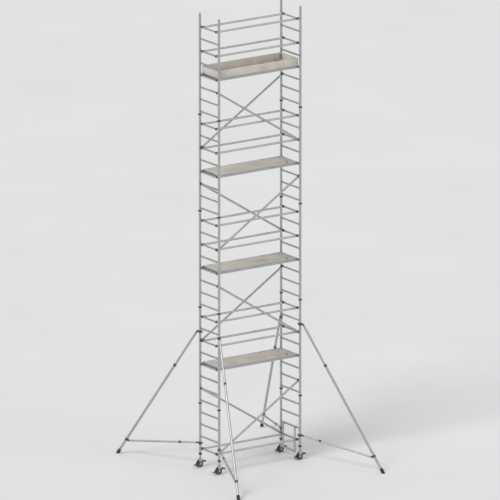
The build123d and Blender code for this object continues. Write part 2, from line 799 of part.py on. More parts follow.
for corner, (sx, sy) in corners.items():
    spot = Location((sx * half_length, sy * half_width, 0))
    with BuildPart() as leg_here:
        with Locations(spot):
            add(castor_leg.part)
    save(leg_here, f"castor_leg_{corner}")
    with BuildPart() as nut_here:
        with Locations(spot):
            add(castor_nut.part)
    save(nut_here, f"castor_nut_{corner}")
    with BuildPart() as fork_here:
        with Locations(spot):
            add(castor_fork.part)
            add(castor_axle.part)
    save(fork_here, f"castor_fork_{corner}")
    with BuildPart() as wheel_here:
        with Locations(spot):
            add(castor_wheel.part)
            add(castor_tyre.part)
    save(wheel_here, f"castor_wheel_{corner}")
    with BuildPart() as pedal_here:
        with Locations(spot):
            add(castor_pedal.part)
    save(pedal_here, f"castor_pedal_{corner}")

# ---- stabilisers, each made with its post on the Z axis and its foot towards +X
foot_reach = hypot(foot_x, foot_y)
leg_plane = Plane(
    origin=(coupler_reach, 0, coupler_z_high),
    x_dir=(0, 1, 0),
    z_dir=(foot_reach - coupler_reach, 0, -coupler_z_high),
)
leg_length = hypot(foot_reach - coupler_reach, coupler_z_high)
out_x = (foot_reach - coupler_reach) / leg_length
down_z = coupler_z_high / leg_length
bracket_t = leg_length - bracket_at
pin_x = coupler_reach + out_x * bracket_t - down_z * bracket_arm
pin_z = coupler_z_high - down_z * bracket_t - out_x * bracket_arm
strut_plane = Plane(
    origin=(coupler_reach, 0, coupler_z_low),
    x_dir=(0, 1, 0),
    z_dir=(pin_x - coupler_reach, 0, pin_z - coupler_z_low),
)
strut_length = hypot(pin_x - coupler_reach, pin_z - coupler_z_low)
stab_inner_d = stab_outer_d - 2 * stab_outer_wall - 2 * seat_gap
strut_inner_d = strut_outer_d - 2 * strut_wall - 2 * seat_gap
cheek_from = tang / 2 + seat_gap
cheek_to = cheek_from + cheek


def coupler_piece(height):
    """A clamp round the post with two cheeks and the pin that carries a leg or a strut."""
    ring_r = post_r + seat_gap + coupler_wall
    with BuildPart() as piece:
        with BuildSketch(Plane.XY.offset(height - coupler_height / 2)):
            Circle(ring_r)
        extrude(amount=coupler_height)
        for start in (cheek_from, -cheek_to):
            with BuildSketch(Plane.XZ.offset(-start - cheek)):
                with Locations((coupler_reach / 2, height)):
                    Rectangle(coupler_reach, 2 * eye_r)
                with Locations((coupler_reach, height)):
                    Circle(eye_r)
            extrude(amount=cheek)
        with BuildSketch(Plane.XZ.offset(-cheek_to - pin_end)):
            with Locations((coupler_reach, height)):
                Circle(pin_d / 2)
        extrude(amount=2 * (cheek_to + pin_end))
        with BuildSketch(Plane.XY.offset(height - coupler_height)):
            Circle(post_r + seat_gap)
        extrude(amount=2 * coupler_height, mode=Mode.SUBTRACT)
    return piece.part


def eye_piece(plane, at, toward, tube_bore_d, hole_r):
    """A plug for a tube's end with a flat eye; toward is the way from the eye to the tube."""
    near = at + toward * (eye_r + eye_neck)
    plug_from, plug_to = sorted((near, near + toward * plug_long))
    bar_from, bar_to = sorted((at, near + toward * plug_lap))
    with BuildPart() as piece:
        with BuildSketch(plane.offset(plug_from)):
            Circle(tube_bore_d / 2 - weld_gap)
        extrude(amount=plug_to - plug_from)
        with BuildSketch(plane.offset(bar_from)):
            Rectangle(tang, 2 * eye_r)
        extrude(amount=bar_to - bar_from)
        across = Plane(origin=plane.offset(at).origin, z_dir=plane.x_dir)
        with BuildSketch(across.offset(-tang / 2)):
            Circle(eye_r)
        extrude(amount=tang)
        with BuildSketch(across.offset(-tang)):
            Circle(hole_r)
        extrude(amount=2 * tang, mode=Mode.SUBTRACT)
    return piece.part


with BuildPart() as stab_upper:
    add(coupler_piece(coupler_z_high))
    add(eye_piece(leg_plane, 0, 1, stab_inner_d - 2 * stab_inner_wall, pin_d / 2 + weld_gap))
    start = eye_r + eye_neck
    end = stab_collar_at + stab_overlap
    add(tube_piece(leg_plane, start, end, stab_inner_d, stab_inner_wall))

with BuildPart() as stab_low_coupler:
    add(coupler_piece(coupler_z_low))

foot_tube_end = leg_length - foot_sole
with BuildPart() as leg_tube:
    add(tube_piece(leg_plane, stab_collar_at, foot_tube_end, stab_outer_d, stab_outer_wall))

with BuildPart() as leg_collar:
    collar_from = stab_collar_at - collar_long / 2
    outer_r = stab_outer_d / 2 + weld_gap
    with BuildSketch(leg_plane.offset(collar_from)):
        Circle(outer_r + collar_wall)
        Circle(stab_inner_d / 2 + seat_gap, mode=Mode.SUBTRACT)
    extrude(amount=collar_long)
    with BuildSketch(leg_plane.offset(stab_collar_at - weld_gap)):
        Circle(outer_r)
    extrude(amount=collar_long, mode=Mode.SUBTRACT)
    across = Plane(origin=leg_plane.offset(stab_collar_at + collar_long / 4).origin, z_dir=leg_plane.x_dir)
    with BuildSketch(across.offset(outer_r + collar_wall / 2)):
        Circle(lock_pin_d / 2)
    extrude(amount=lock_pin_long)

with BuildPart() as leg_bracket:
    with BuildSketch(leg_plane.offset(bracket_t - bracket_long / 2)):
        Circle(outer_r + bracket_wall)
    extrude(amount=bracket_long)
    for start in (cheek_from, -cheek_to):
        with BuildSketch(Plane(origin=(0, start, 0), x_dir=(1, 0, 0), z_dir=(0, 1, 0))):
            with BuildLine():
                axis_x = coupler_reach + out_x * bracket_t
                axis_z = -(coupler_z_high - down_z * bracket_t)
                Line((axis_x, axis_z), (pin_x, -pin_z))
            trace(line_width=2 * eye_r)
            with Locations((pin_x, -pin_z)):
                Circle(eye_r)
        extrude(amount=cheek)
    with BuildSketch(Plane(origin=(0, -cheek_to - pin_end, 0), x_dir=(1, 0, 0), z_dir=(0, 1, 0))):
        with Locations((pin_x, -pin_z)):
            Circle(pin_d / 2)
    extrude(amount=2 * (cheek_to + pin_end))
    with BuildSketch(leg_plane.offset(bracket_t - foot_long)):
        Circle(outer_r)
    extrude(amount=2 * foot_long, mode=Mode.SUBTRACT)

with BuildPart() as leg_foot:
    with BuildSketch(leg_plane.offset(leg_length - foot_long)):
        Circle(foot_d / 2)
    extrude(amount=foot_long + foot_d)
    with BuildSketch(leg_plane.offset(leg_length - foot_long - weld_gap)):
        Circle(outer_r)
    extrude(amount=foot_long - foot_sole + 2 * weld_gap, mode=Mode.SUBTRACT)
    split(bisect_by=Plane.XY, keep=Keep.TOP)

with BuildPart() as strut_outer:
    pin_t = strut_length
    add(eye_piece(strut_plane, pin_t, -1, strut_outer_d - 2 * strut_wall, pin_d / 2 + pin_fit))
    add(tube_piece(strut_plane, strut_collar_at, pin_t - eye_r - eye_neck, strut_outer_d, strut_wall))
    strut_outer_r = strut_outer_d / 2 + weld_gap
    with BuildSketch(strut_plane.offset(strut_collar_at - collar_long / 2)):
        Circle(strut_outer_r + collar_wall)
        Circle(strut_inner_d / 2 + seat_gap, mode=Mode.SUBTRACT)
    extrude(amount=collar_long / 2 - weld_gap)
    with BuildSketch(strut_plane.offset(strut_collar_at - weld_gap)):
        Circle(strut_outer_r + collar_wall)
        Circle(strut_outer_r, mode=Mode.SUBTRACT)
    extrude(amount=collar_long / 2)

with BuildPart() as strut_inner:
    add(eye_piece(strut_plane, 0, 1, strut_inner_d - 2 * strut_wall, pin_d / 2 + open_pin_gap))
    start = eye_r + eye_neck
    end = strut_collar_at + strut_overlap
    add(tube_piece(strut_plane, start, end, strut_inner_d, strut_wall))

foot_angle = degrees(atan2(foot_y, foot_x))
for corner, (sx, sy) in corners.items():
    turn = sy * (foot_angle if sx > 0 else 180 - foot_angle)
    spot = Location((sx * half_length, sy * half_width, 0), (0, 0, turn))
    groups = {
        "leg_upper": (stab_upper,),
        "low_coupler": (stab_low_coupler,),
        "leg_lower": (leg_tube, leg_collar, leg_bracket, leg_foot),
        "strut_outer": (strut_outer,),
        "strut_inner": (strut_inner,),
    }
    for group, pieces in groups.items():
        with BuildPart() as stabiliser_piece:
            with Locations(spot):
                for piece in pieces:
                    add(piece.part)
        save(stabiliser_piece, f"stabiliser_{group}_{corner}")
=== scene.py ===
import json
from math import atan2, cos, hypot, pi, radians, sin, sqrt

import bpy
from mathutils import Matrix, Vector

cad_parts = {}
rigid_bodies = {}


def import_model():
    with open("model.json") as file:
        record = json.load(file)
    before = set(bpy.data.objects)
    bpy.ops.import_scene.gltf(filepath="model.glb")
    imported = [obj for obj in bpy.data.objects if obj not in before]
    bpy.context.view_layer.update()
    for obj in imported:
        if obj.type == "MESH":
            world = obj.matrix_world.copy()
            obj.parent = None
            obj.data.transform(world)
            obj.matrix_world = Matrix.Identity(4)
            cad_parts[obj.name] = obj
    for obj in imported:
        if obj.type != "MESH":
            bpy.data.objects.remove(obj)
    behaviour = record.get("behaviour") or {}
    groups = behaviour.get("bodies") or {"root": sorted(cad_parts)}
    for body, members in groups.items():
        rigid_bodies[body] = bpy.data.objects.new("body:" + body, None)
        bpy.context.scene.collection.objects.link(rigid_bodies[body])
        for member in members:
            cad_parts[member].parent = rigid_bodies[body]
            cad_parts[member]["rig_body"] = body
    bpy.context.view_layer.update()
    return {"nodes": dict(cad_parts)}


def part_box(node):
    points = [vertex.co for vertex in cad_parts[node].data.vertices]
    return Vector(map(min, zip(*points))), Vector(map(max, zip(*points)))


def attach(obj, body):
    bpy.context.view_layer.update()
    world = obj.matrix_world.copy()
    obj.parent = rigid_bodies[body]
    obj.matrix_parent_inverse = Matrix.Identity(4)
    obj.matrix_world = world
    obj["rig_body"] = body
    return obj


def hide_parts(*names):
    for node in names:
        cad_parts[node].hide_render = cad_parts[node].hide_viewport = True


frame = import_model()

# ---- studio
# A pale seamless floor, a soft key light from the front left, a weaker fill from the right and a
# light sky that is darker near the horizon, so that round tubes show their edges.
scene = bpy.context.scene
scene.view_settings.view_transform = "Standard"

view_turn = radians(-34.6)
view_rise = radians(14.8)
view_width = 10.05
lens = 1200
sensor = 36
aim = Vector((0, 0, 4.446))
aim -= 0.004 * Vector((cos(view_turn), sin(view_turn), 0))
back = Vector((sin(view_turn) * cos(view_rise), -cos(view_turn) * cos(view_rise), sin(view_rise)))
camera_data = bpy.data.cameras.new("camera")
camera_data.lens = lens
camera_data.sensor_width = sensor
camera_data.clip_start = 1
camera_data.clip_end = 1500
camera = bpy.data.objects.new("camera", camera_data)
camera.location = aim + back * (view_width * lens / sensor)
camera.rotation_mode = "QUATERNION"
camera.rotation_quaternion = (-back).to_track_quat("-Z", "Y")
scene.collection.objects.link(camera)
scene.camera = camera


def deselect():
    """Leave edit mode behind and select nothing."""
    if bpy.context.object and bpy.context.object.mode != "OBJECT":
        bpy.ops.object.mode_set(mode="OBJECT")
    bpy.ops.object.select_all(action="DESELECT")


def pick(*pieces):
    """Select these pieces only, the first one active."""
    deselect()
    for piece in pieces:
        piece.select_set(True)
    bpy.context.view_layer.objects.active = pieces[0]


def new_material(name):
    """A material with its node tree, its shader and its Object coordinates."""
    made = bpy.data.materials.new(name)
    made.use_nodes = True
    nodes = made.node_tree.nodes
    coords = nodes.new("ShaderNodeTexCoord")
    return made, nodes, made.node_tree.links, nodes["Principled BSDF"], coords.outputs["Object"]


def stretched(nodes, links, coords, scale):
    """Object coordinates multiplied by one factor for each axis."""
    mapping = nodes.new("ShaderNodeMapping")
    mapping.inputs["Scale"].default_value = scale
    links.new(coords, mapping.inputs["Vector"])
    return mapping.outputs["Vector"]


def noise(nodes, links, coords, scale, detail=3, roughness=0.55):
    """The grey output of a noise texture."""
    texture = nodes.new("ShaderNodeTexNoise")
    texture.inputs["Scale"].default_value = scale
    texture.inputs["Detail"].default_value = detail
    texture.inputs["Roughness"].default_value = roughness
    links.new(coords, texture.inputs["Vector"])
    return texture.outputs["Fac"]


def ramp(nodes, links, value, stops):
    """A value turned into a colour by stops of (place, grey or colour)."""
    node = nodes.new("ShaderNodeValToRGB")
    points = node.color_ramp.elements
    while len(points) < len(stops):
        points.new(0.5)
    for point, (place, tint) in zip(points, stops):
        point.position = place
        point.color = (*tint, 1) if isinstance(tint, tuple) else (tint, tint, tint, 1)
    links.new(value, node.inputs["Fac"])
    return node.outputs["Color"]


def span(nodes, links, value, low, high):
    """A value from 0 to 1 spread between two numbers."""
    node = nodes.new("ShaderNodeMapRange")
    node.inputs["To Min"].default_value = low
    node.inputs["To Max"].default_value = high
    links.new(value, node.inputs["Value"])
    return node.outputs["Result"]


def maths(nodes, links, operation, *values):
    """One Math node on sockets or numbers."""
    node = nodes.new("ShaderNodeMath")
    node.operation = operation
    for socket, value in zip(node.inputs, values):
        if isinstance(value, (int, float)):
            socket.default_value = value
        else:
            links.new(value, socket)
    return node.outputs["Value"]


def bump(nodes, links, shader, height, strength, distance):
    """A bump of some height in metres, on the shader's normal."""
    node = nodes.new("ShaderNodeBump")
    node.inputs["Strength"].default_value = strength
    node.inputs["Distance"].default_value = distance
    links.new(height, node.inputs["Height"])
    links.new(node.outputs["Normal"], shader.inputs["Normal"])


floor_size = 600
deselect()
bpy.ops.mesh.primitive_grid_add(x_subdivisions=4, y_subdivisions=4, size=floor_size)
floor = bpy.context.object
floor.name = "studio_floor"
paper, nodes, links, shader, coords = new_material("floor_paper")
mottle = noise(nodes, links, coords, 0.3)
links.new(ramp(nodes, links, mottle, [(0.3, 0.74), (0.7, 0.77)]), shader.inputs["Base Color"])
shader.inputs["Roughness"].default_value = 0.9
floor.data.materials.append(paper)

for name, turn, rise, strength, spread in (
    ("key", -75, 48, 1.7, 25),
    ("fill", 35, 30, 0.35, 40),
    ("rim", 160, 40, 0.3, 40),
):
    light = bpy.data.lights.new(name, "SUN")
    light.energy = strength
    light.angle = radians(spread)
    lamp = bpy.data.objects.new(name, light)
    lamp.rotation_euler = (radians(90 - rise), 0, radians(turn))
    scene.collection.objects.link(lamp)

world = bpy.data.worlds.new("sky")
world.use_nodes = True
sky = world.node_tree.nodes
where = sky.new("ShaderNodeTexCoord")
split = sky.new("ShaderNodeSeparateXYZ")
world.node_tree.links.new(where.outputs["Generated"], split.inputs["Vector"])
height = maths(sky, world.node_tree.links, "MULTIPLY_ADD", split.outputs["Z"], 0.5, 0.5)
tone = ramp(sky, world.node_tree.links, height, [(0.0, 0.50), (0.5, 0.42), (0.62, 0.72), (1.0, 0.85)])
world.node_tree.links.new(tone, sky["Background"].inputs["Color"])
sky["Background"].inputs["Strength"].default_value = 0.62
scene.world = world


# ---- ladder frames
# Extruded aluminium tube with a satin mill finish: plain posts, and rungs with fine grip flutes,
# welded between them all round. The copies of the tubes are merged and smoothed.

bpy.context.tool_settings.mesh_select_mode = (False, False, True)


def round_bar(radius, length, sides, middle=(0, 0, 0), axis="Z"):
    """A cylinder primitive centred on a point, along X, Y or Z."""
    deselect()
    turn = {"X": (0, pi / 2, 0), "Y": (pi / 2, 0, 0), "Z": (0, 0, 0)}[axis]
    bpy.ops.mesh.primitive_cylinder_add(
        vertices=sides, radius=radius, depth=length, location=middle, rotation=turn
    )
    bpy.ops.object.transform_apply(location=True, rotation=True, scale=True)
    return bpy.context.object


def block(size, middle=(0, 0, 0), turn=(0, 0, 0)):
    """A cube primitive stretched to a size, centred on a point."""
    deselect()
    bpy.ops.mesh.primitive_cube_add(size=1, location=middle, rotation=turn, scale=size)
    bpy.ops.object.transform_apply(location=True, rotation=True, scale=True)
    return bpy.context.object


def choose(piece, test):
    """Open a piece in edit mode with the faces selected whose centre and normal pass a test."""
    pick(piece)
    bpy.ops.object.mode_set(mode="EDIT")
    bpy.ops.mesh.select_mode(type="FACE")
    bpy.ops.mesh.select_all(action="DESELECT")
    bpy.ops.object.mode_set(mode="OBJECT")
    for face in piece.data.polygons:
        face.select = test(face.center, face.normal)
    bpy.ops.object.mode_set(mode="EDIT")


def combine(piece, tool, operation):
    """Join (UNION) a tool to a piece or cut (DIFFERENCE) it away, and use the tool up."""
    pick(piece)
    change = piece.modifiers.new("shape", "BOOLEAN")
    change.operation = operation
    change.solver = "EXACT"
    change.object = tool
    bpy.ops.object.modifier_apply(modifier=change.name)
    bpy.data.objects.remove(tool)
    return piece


def ease(piece, width, segments=2, angle=35):
    """Round off the sharp edges of a piece."""
    pick(piece)
    change = piece.modifiers.new("edges", "BEVEL")
    change.width = width
    change.segments = segments
    change.limit_method = "ANGLE"
    change.angle_limit = radians(angle)
    bpy.ops.object.modifier_apply(modifier=change.name)
    return piece


def join(*pieces):
    """Several pieces joined into the first."""
    pick(*pieces)
    bpy.ops.object.join()
    return pieces[0]


def placed(pattern, spot):
    """A copy of a pattern piece with its own mesh, moved by a placing matrix."""
    twin = bpy.data.objects.new(pattern.name, pattern.data.copy())
    twin.data.transform(spot)
    scene.collection.objects.link(twin)
    return twin


def copies(pattern, spots):
    """A pattern piece copied to each placing matrix and joined; the pattern is used up."""
    made = [placed(pattern, spot) for spot in spots]
    bpy.data.objects.remove(pattern)
    return join(*made)


def level_cut(piece, height):
    """Cut all faces of a piece along a level plane, keeping both sides."""
    choose(piece, lambda centre, normal: True)
    bpy.ops.mesh.bisect(plane_co=(0, 0, height), plane_no=(0, 0, 1))


def sink(depth):
    """Push the selected faces inwards, with walls at their border."""
    bpy.ops.mesh.extrude_region_shrink_fatten(TRANSFORM_OT_shrink_fatten={"value": -depth})
    bpy.ops.object.mode_set(mode="OBJECT")


def waisted(piece, half, depth):
    """Sink a band round the middle of an upright round piece."""
    level_cut(piece, -half)
    level_cut(piece, half)
    choose(piece, lambda centre, normal: abs(centre.z) < half and abs(normal.z) < 0.1)
    sink(depth)


def complete(piece, name, body, finish, crease=35, stands_for=()):
    """Close, smooth, finish and mount a new piece on its body."""
    pick(piece)
    bpy.ops.object.mode_set(mode="EDIT")
    bpy.ops.mesh.select_all(action="SELECT")
    bpy.ops.mesh.remove_doubles(threshold=0.00001)
    bpy.ops.mesh.normals_make_consistent(inside=False)
    bpy.ops.object.mode_set(mode="OBJECT")
    bpy.ops.object.shade_smooth_by_angle(angle=radians(crease))
    piece.name = name
    piece.data.materials.clear()
    piece.data.materials.append(finish)
    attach(piece, body)
    if stands_for:
        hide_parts(*stands_for)
    return piece


def dressed(node, finish, crease=35, edge=0):
    """A merged and smoothed copy of a CAD node, with its edges eased, that stands for the node."""
    source = frame["nodes"][node]
    piece = bpy.data.objects.new(f"{node}_finished", source.data.copy())
    scene.collection.objects.link(piece)
    pick(piece)
    bpy.ops.mesh.customdata_custom_splitnormals_clear()
    bpy.ops.object.mode_set(mode="EDIT")
    bpy.ops.mesh.select_all(action="SELECT")
    bpy.ops.mesh.remove_doubles(threshold=0.00002)
    bpy.ops.mesh.dissolve_limited(angle_limit=radians(1))
    bpy.ops.object.mode_set(mode="OBJECT")
    if edge:
        easing = piece.modifiers.new("eased_edges", "BEVEL")
        easing.width = edge
        easing.segments = 2
        easing.limit_method = "ANGLE"
        easing.angle_limit = radians(40)
        bpy.ops.object.modifier_apply(modifier=easing.name)
    bpy.ops.object.shade_smooth_by_angle(angle=radians(crease))
    piece.data.materials.clear()
    piece.data.materials.append(finish)
    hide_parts(node)
    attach(piece, source["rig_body"])
    return piece


def solids(node):
    """The separate solids of a CAD node as merged copies, the longest first."""
    source = frame["nodes"][node]
    whole = bpy.data.objects.new(f"{node}_solid", source.data.copy())
    scene.collection.objects.link(whole)
    pick(whole)
    bpy.ops.mesh.customdata_custom_splitnormals_clear()
    bpy.ops.object.mode_set(mode="EDIT")
    bpy.ops.mesh.select_all(action="SELECT")
    bpy.ops.mesh.remove_doubles(threshold=0.00002)
    bpy.ops.mesh.dissolve_limited(angle_limit=radians(1))
    bpy.ops.mesh.separate(type="LOOSE")
    bpy.ops.object.mode_set(mode="OBJECT")
    found = list(bpy.context.selected_objects)
    return sorted(found, key=lambda piece: -Vector(piece.dimensions).length)


def worn_alloy(name, base, along, rough, lines=900):
    """Satin aluminium: die lines along the tube, soft stains and scuffs."""
    made, nodes, links, shader, coords = new_material(name)
    stretch = [1, 1, 1]
    stretch["XYZ".index(along)] = 0.012
    streaks = noise(nodes, links, stretched(nodes, links, coords, stretch), lines, 4, 0.6)
    stains = noise(nodes, links, coords, 9, 5)
    dark = tuple(0.86 * part for part in base)
    tint = nodes.new("ShaderNodeMix")
    tint.data_type = "RGBA"
    tint.blend_type = "MULTIPLY"
    tint.inputs["Factor"].default_value = 0.6
    links.new(ramp(nodes, links, stains, [(0.3, dark), (0.62, base)]), tint.inputs["A"])
    links.new(ramp(nodes, links, streaks, [(0.3, 0.86), (0.7, 1.0)]), tint.inputs["B"])
    links.new(tint.outputs["Result"], shader.inputs["Base Color"])
    scuffs = noise(nodes, links, coords, 60, 6, 0.7)
    rough_map = maths(nodes, links, "MULTIPLY_ADD", scuffs, 0.22, rough - 0.1)
    links.new(rough_map, shader.inputs["Roughness"])
    shader.inputs["Metallic"].default_value = 1
    bump(nodes, links, shader, streaks, 0.35, 0.00025)
    return made, nodes, links, shader, coords, streaks


first_rung = 0.400
rung_pitch = 0.250
post_r = 0.025
post_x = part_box("base_frames")[1].x - post_r
post_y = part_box("base_frames")[1].y - post_r
flutes = 22

tube_alloy, nodes, links, shader, coords, streaks = worn_alloy("frame_tube", (0.56, 0.57, 0.585), "Z", 0.36)
parts = nodes.new("ShaderNodeSeparateXYZ")
links.new(coords, parts.inputs["Vector"])
across = maths(nodes, links, "SUBTRACT", maths(nodes, links, "ABSOLUTE", parts.outputs["X"]), post_x)
above = maths(nodes, links, "SUBTRACT", parts.outputs["Z"], first_rung + rung_pitch / 2)
level = maths(nodes, links, "FLOORED_MODULO", above, rung_pitch)
level = maths(nodes, links, "SUBTRACT", level, rung_pitch / 2)
turn = maths(nodes, links, "ARCTAN2", level, across)
flute = maths(nodes, links, "SINE", maths(nodes, links, "MULTIPLY", turn, flutes))
aside = maths(nodes, links, "ABSOLUTE", parts.outputs["Y"])
inside = maths(nodes, links, "LESS_THAN", aside, post_y - post_r)
flute = maths(nodes, links, "MULTIPLY", flute, inside)
relief = maths(nodes, links, "MULTIPLY_ADD", flute, 2.0, streaks)
bump(nodes, links, shader, relief, 0.5, 0.00035)

for node in ("base_frames", "lift_frames_1", "lift_frames_2", "lift_frames_3", "lift_frames_4"):
    dressed(node, tube_alloy)

# ---- rung welds
# A fillet weld runs round both ends of every rung, in small overlapping ripples that follow the
# round of the post.
weld_r = 0.0023
weld_ring = 0.0198
ripples = 14
rungs_all = 36
weld_alloy, nodes, links, shader, coords = new_material("weld_bead")
soot = noise(nodes, links, coords, 300, 4)
weld_tints = [(0.35, (0.34, 0.34, 0.35)), (0.65, (0.52, 0.52, 0.53))]
links.new(ramp(nodes, links, soot, weld_tints), shader.inputs["Base Color"])
shader.inputs["Metallic"].default_value = 1
shader.inputs["Roughness"].default_value = 0.42
bump(nodes, links, shader, soot, 0.3, 0.0003)


def weld_bead(ring, saddle):
    """A rippled weld round a tube along Y that meets a round of the saddle radius."""
    deselect()
    bpy.ops.mesh.primitive_torus_add(
        major_segments=28,
        minor_segments=5,
        major_radius=ring,
        minor_radius=weld_r,
        rotation=(pi / 2, 0, 0),
    )
    bpy.ops.object.transform_apply(location=True, rotation=True, scale=True)
    bead = bpy.context.object
    for point in bead.data.vertices:
        around = atan2(point.co.z, point.co.x)
        swell = 1 + 0.02 * sin(ripples * around)
        point.co.x *= swell
        point.co.z *= swell
        point.co.y -= saddle - sqrt(max(saddle**2 - point.co.x**2, 0))
    return bead


bead = weld_bead(weld_ring, post_r + 0.002)
rung_end = post_y - post_r
rung_heights = [first_rung + n * rung_pitch for n in range(rungs_all)]
spots = [
    Matrix.Translation((sx * post_x, sy * rung_end, z)) @ Matrix.Rotation(turn, 4, "Z")
    for z in rung_heights
    for sx in (-1, 1)
    for sy, turn in ((-1, pi), (1, 0))
]
complete(copies(bead, spots), "rung_welds", "tower", weld_alloy, 60)

# ---- spigots
# Turned aluminium sleeves pressed into the posts; the top four stand bare with a rounded nose.
spigot_alloy = worn_alloy("turned_spigot", (0.50, 0.51, 0.53), "X", 0.32)[0]
dressed("frame_spigots", spigot_alloy)

# ---- braces
# Aluminium ledgers, guardrails and diagonals, the same tube in a slightly brighter finish.
brace_alloy = worn_alloy("brace_tube", (0.60, 0.61, 0.62), "X", 0.34)[0]
dressed("horizontal_braces", brace_alloy)
dressed("diagonal_braces", brace_alloy)


# ---- castings and mouldings
# Claws, hooks and nuts are dark coated castings; clips and latches are black nylon mouldings.
def dark_finish(name, base, rough, grain, metallic=0.0, wear=0.0):
    """A dark coating or moulding: cast or spark-eroded grain, dust, and rubbed edges on metal."""
    made, nodes, links, shader, coords = new_material(name)
    dust = noise(nodes, links, coords, 30, 5)
    light = tuple(1.6 * part + 0.01 for part in base)
    colour = ramp(nodes, links, dust, [(0.42, base), (0.78, light)])
    if wear:
        edges = nodes.new("ShaderNodeNewGeometry").outputs["Pointiness"]
        chips = noise(nodes, links, coords, 220, 3)
        rubbed = maths(nodes, links, "MULTIPLY_ADD", chips, 0.05, edges)
        mix = nodes.new("ShaderNodeMix")
        mix.data_type = "RGBA"
        links.new(ramp(nodes, links, rubbed, [(0.56, 0.0), (0.62, wear)]), mix.inputs["Factor"])
        links.new(colour, mix.inputs["A"])
        mix.inputs["B"].default_value = (0.42, 0.43, 0.44, 1)
        colour = mix.outputs["Result"]
    links.new(colour, shader.inputs["Base Color"])
    fine = noise(nodes, links, coords, grain, 4, 0.6)
    links.new(span(nodes, links, fine, rough - 0.1, rough + 0.12), shader.inputs["Roughness"])
    shader.inputs["Metallic"].default_value = metallic
    bump(nodes, links, shader, fine, 0.4, 0.0004)
    return made


claw_coat = dark_finish("claw_casting", (0.045, 0.046, 0.05), 0.5, 700, 0.3, 0.35)
latch_nylon = dark_finish("latch_moulding", (0.03, 0.03, 0.033), 0.45, 1500)
clip_nylon = dark_finish("clip_moulding", (0.022, 0.022, 0.025), 0.42, 1500)
hook_coat = dark_finish("hook_casting", (0.05, 0.051, 0.055), 0.52, 700, 0.3, 0.35)

# ---- locking clips
# A nylon ring snapped round the foot of each upper post; a thumb tab carries the pin that passes
# through post and spigot.
clip_r = 0.0342
clip_bore = 0.0253
clip_tall = 0.026
clip_up = 0.040
joints_z = (1.300, 3.300, 5.300, 7.300)
clip = round_bar(clip_r, clip_tall, 40)
waisted(clip, 0.005, 0.0015)
combine(clip, round_bar(clip_bore, 2 * clip_tall, 40), "DIFFERENCE")
combine(clip, block((0.014, 0.006, 2 * clip_tall), (-clip_r + 0.003, 0, 0)), "DIFFERENCE")
tab = block((0.016, 0.014, clip_tall - 0.004), (clip_r + 0.003, 0, 0))
choose(tab, lambda centre, normal: normal.x > 0.9)
bpy.ops.mesh.inset(thickness=0.0015, depth=-0.001)
bpy.ops.object.mode_set(mode="OBJECT")
ease(clip, 0.0008)
ease(tab, 0.0012)
button = round_bar(0.0045, 0.002, 16, (clip_r + 0.0105, 0, 0), "X")
clip = join(clip, tab, ease(button, 0.0006))
spots = [
    Matrix.Translation((sx * post_x, sy * post_y, z + clip_up)) @ Matrix.Rotation(0 if sx > 0 else pi, 4, "Z")
    for sx in (-1, 1)
    for sy in (-1, 1)
    for z in joints_z
]
clips = copies(clip, spots)
complete(clips, "locking_clips", "tower", clip_nylon, stands_for=["frame_clips"])

# ---- claws
# A cast jaw drops over the rung and its neck is plugged and riveted into the brace tube; a sprung
# nylon latch with a ridged thumb tab closes the jaw from below.
jaw_bore = 0.0193
jaw_r = 0.0273
jaw_wide = 0.036
jaw_drop = 0.008
neck_r = 0.021
neck_end = 0.048
latch_r = 0.0253
latch_wide = 0.016
ledger_y = 0.250
diagonal_y = 0.293
rails = (0, 9, 11, 17, 19, 25, 27, 33, 35)
diagonals = ((0, 5), (14, 9), (17, 22), (30, 25))
diagonal_slope = atan2(5 * rung_pitch, 2 * post_x)


def claw(slope):
    """The jaw and neck of a claw on a rung along Y, its neck rising towards +X at a slope."""
    tilt = Matrix.Rotation(-slope, 4, "Y")
    jaw = round_bar(jaw_r, jaw_wide, 36, axis="Y")
    choose(jaw, lambda centre, normal: abs(normal.y) > 0.9)
    bpy.ops.mesh.inset(thickness=0.0018, depth=0)
    bpy.ops.mesh.inset(thickness=0.0012, depth=-0.0012)
    bpy.ops.object.mode_set(mode="OBJECT")
    neck = round_bar(neck_r, neck_end - 0.012, 32, ((neck_end + 0.012) / 2, 0, 0), "X")
    choose(neck, lambda centre, normal: normal.x > 0.9)
    bpy.ops.mesh.inset(thickness=0.001, depth=0)
    bpy.ops.object.mode_set(mode="OBJECT")
    fin = block((0.030, 0.006, 0.052), (0.024, 0, 0))
    choose(fin, lambda centre, normal: normal.x > 0.9)
    bpy.ops.transform.resize(value=(1, 1, 0.82))
    bpy.ops.object.mode_set(mode="OBJECT")
    combine(neck, fin, "UNION")
    neck.data.transform(tilt)
    combine(jaw, neck, "UNION")
    combine(jaw, round_bar(jaw_bore, 0.1, 36, axis="Y"), "DIFFERENCE")
    combine(jaw, block((0.0546, 0.1, 0.08), (0, 0, -jaw_drop - 0.04)), "DIFFERENCE")
    ease(jaw, 0.0009)
    return jaw


def claw_rivets(slope):
    """Two domed rivets on top of the brace tube's end and two below."""
    made = []
    for along in (0.057, 0.071):
        for side in (-1, 1):
            rivet = round_bar(0.004, 0.0016, 10, (along, 0, side * (neck_r + 0.0002)))
            choose(rivet, lambda centre, normal: normal.z * side > 0.9)
            bpy.ops.mesh.inset(thickness=0.0016, depth=0.001)
            bpy.ops.object.mode_set(mode="OBJECT")
            made.append(rivet)
    rivets = join(*made)
    rivets.data.transform(Matrix.Rotation(-slope, 4, "Y"))
    return rivets


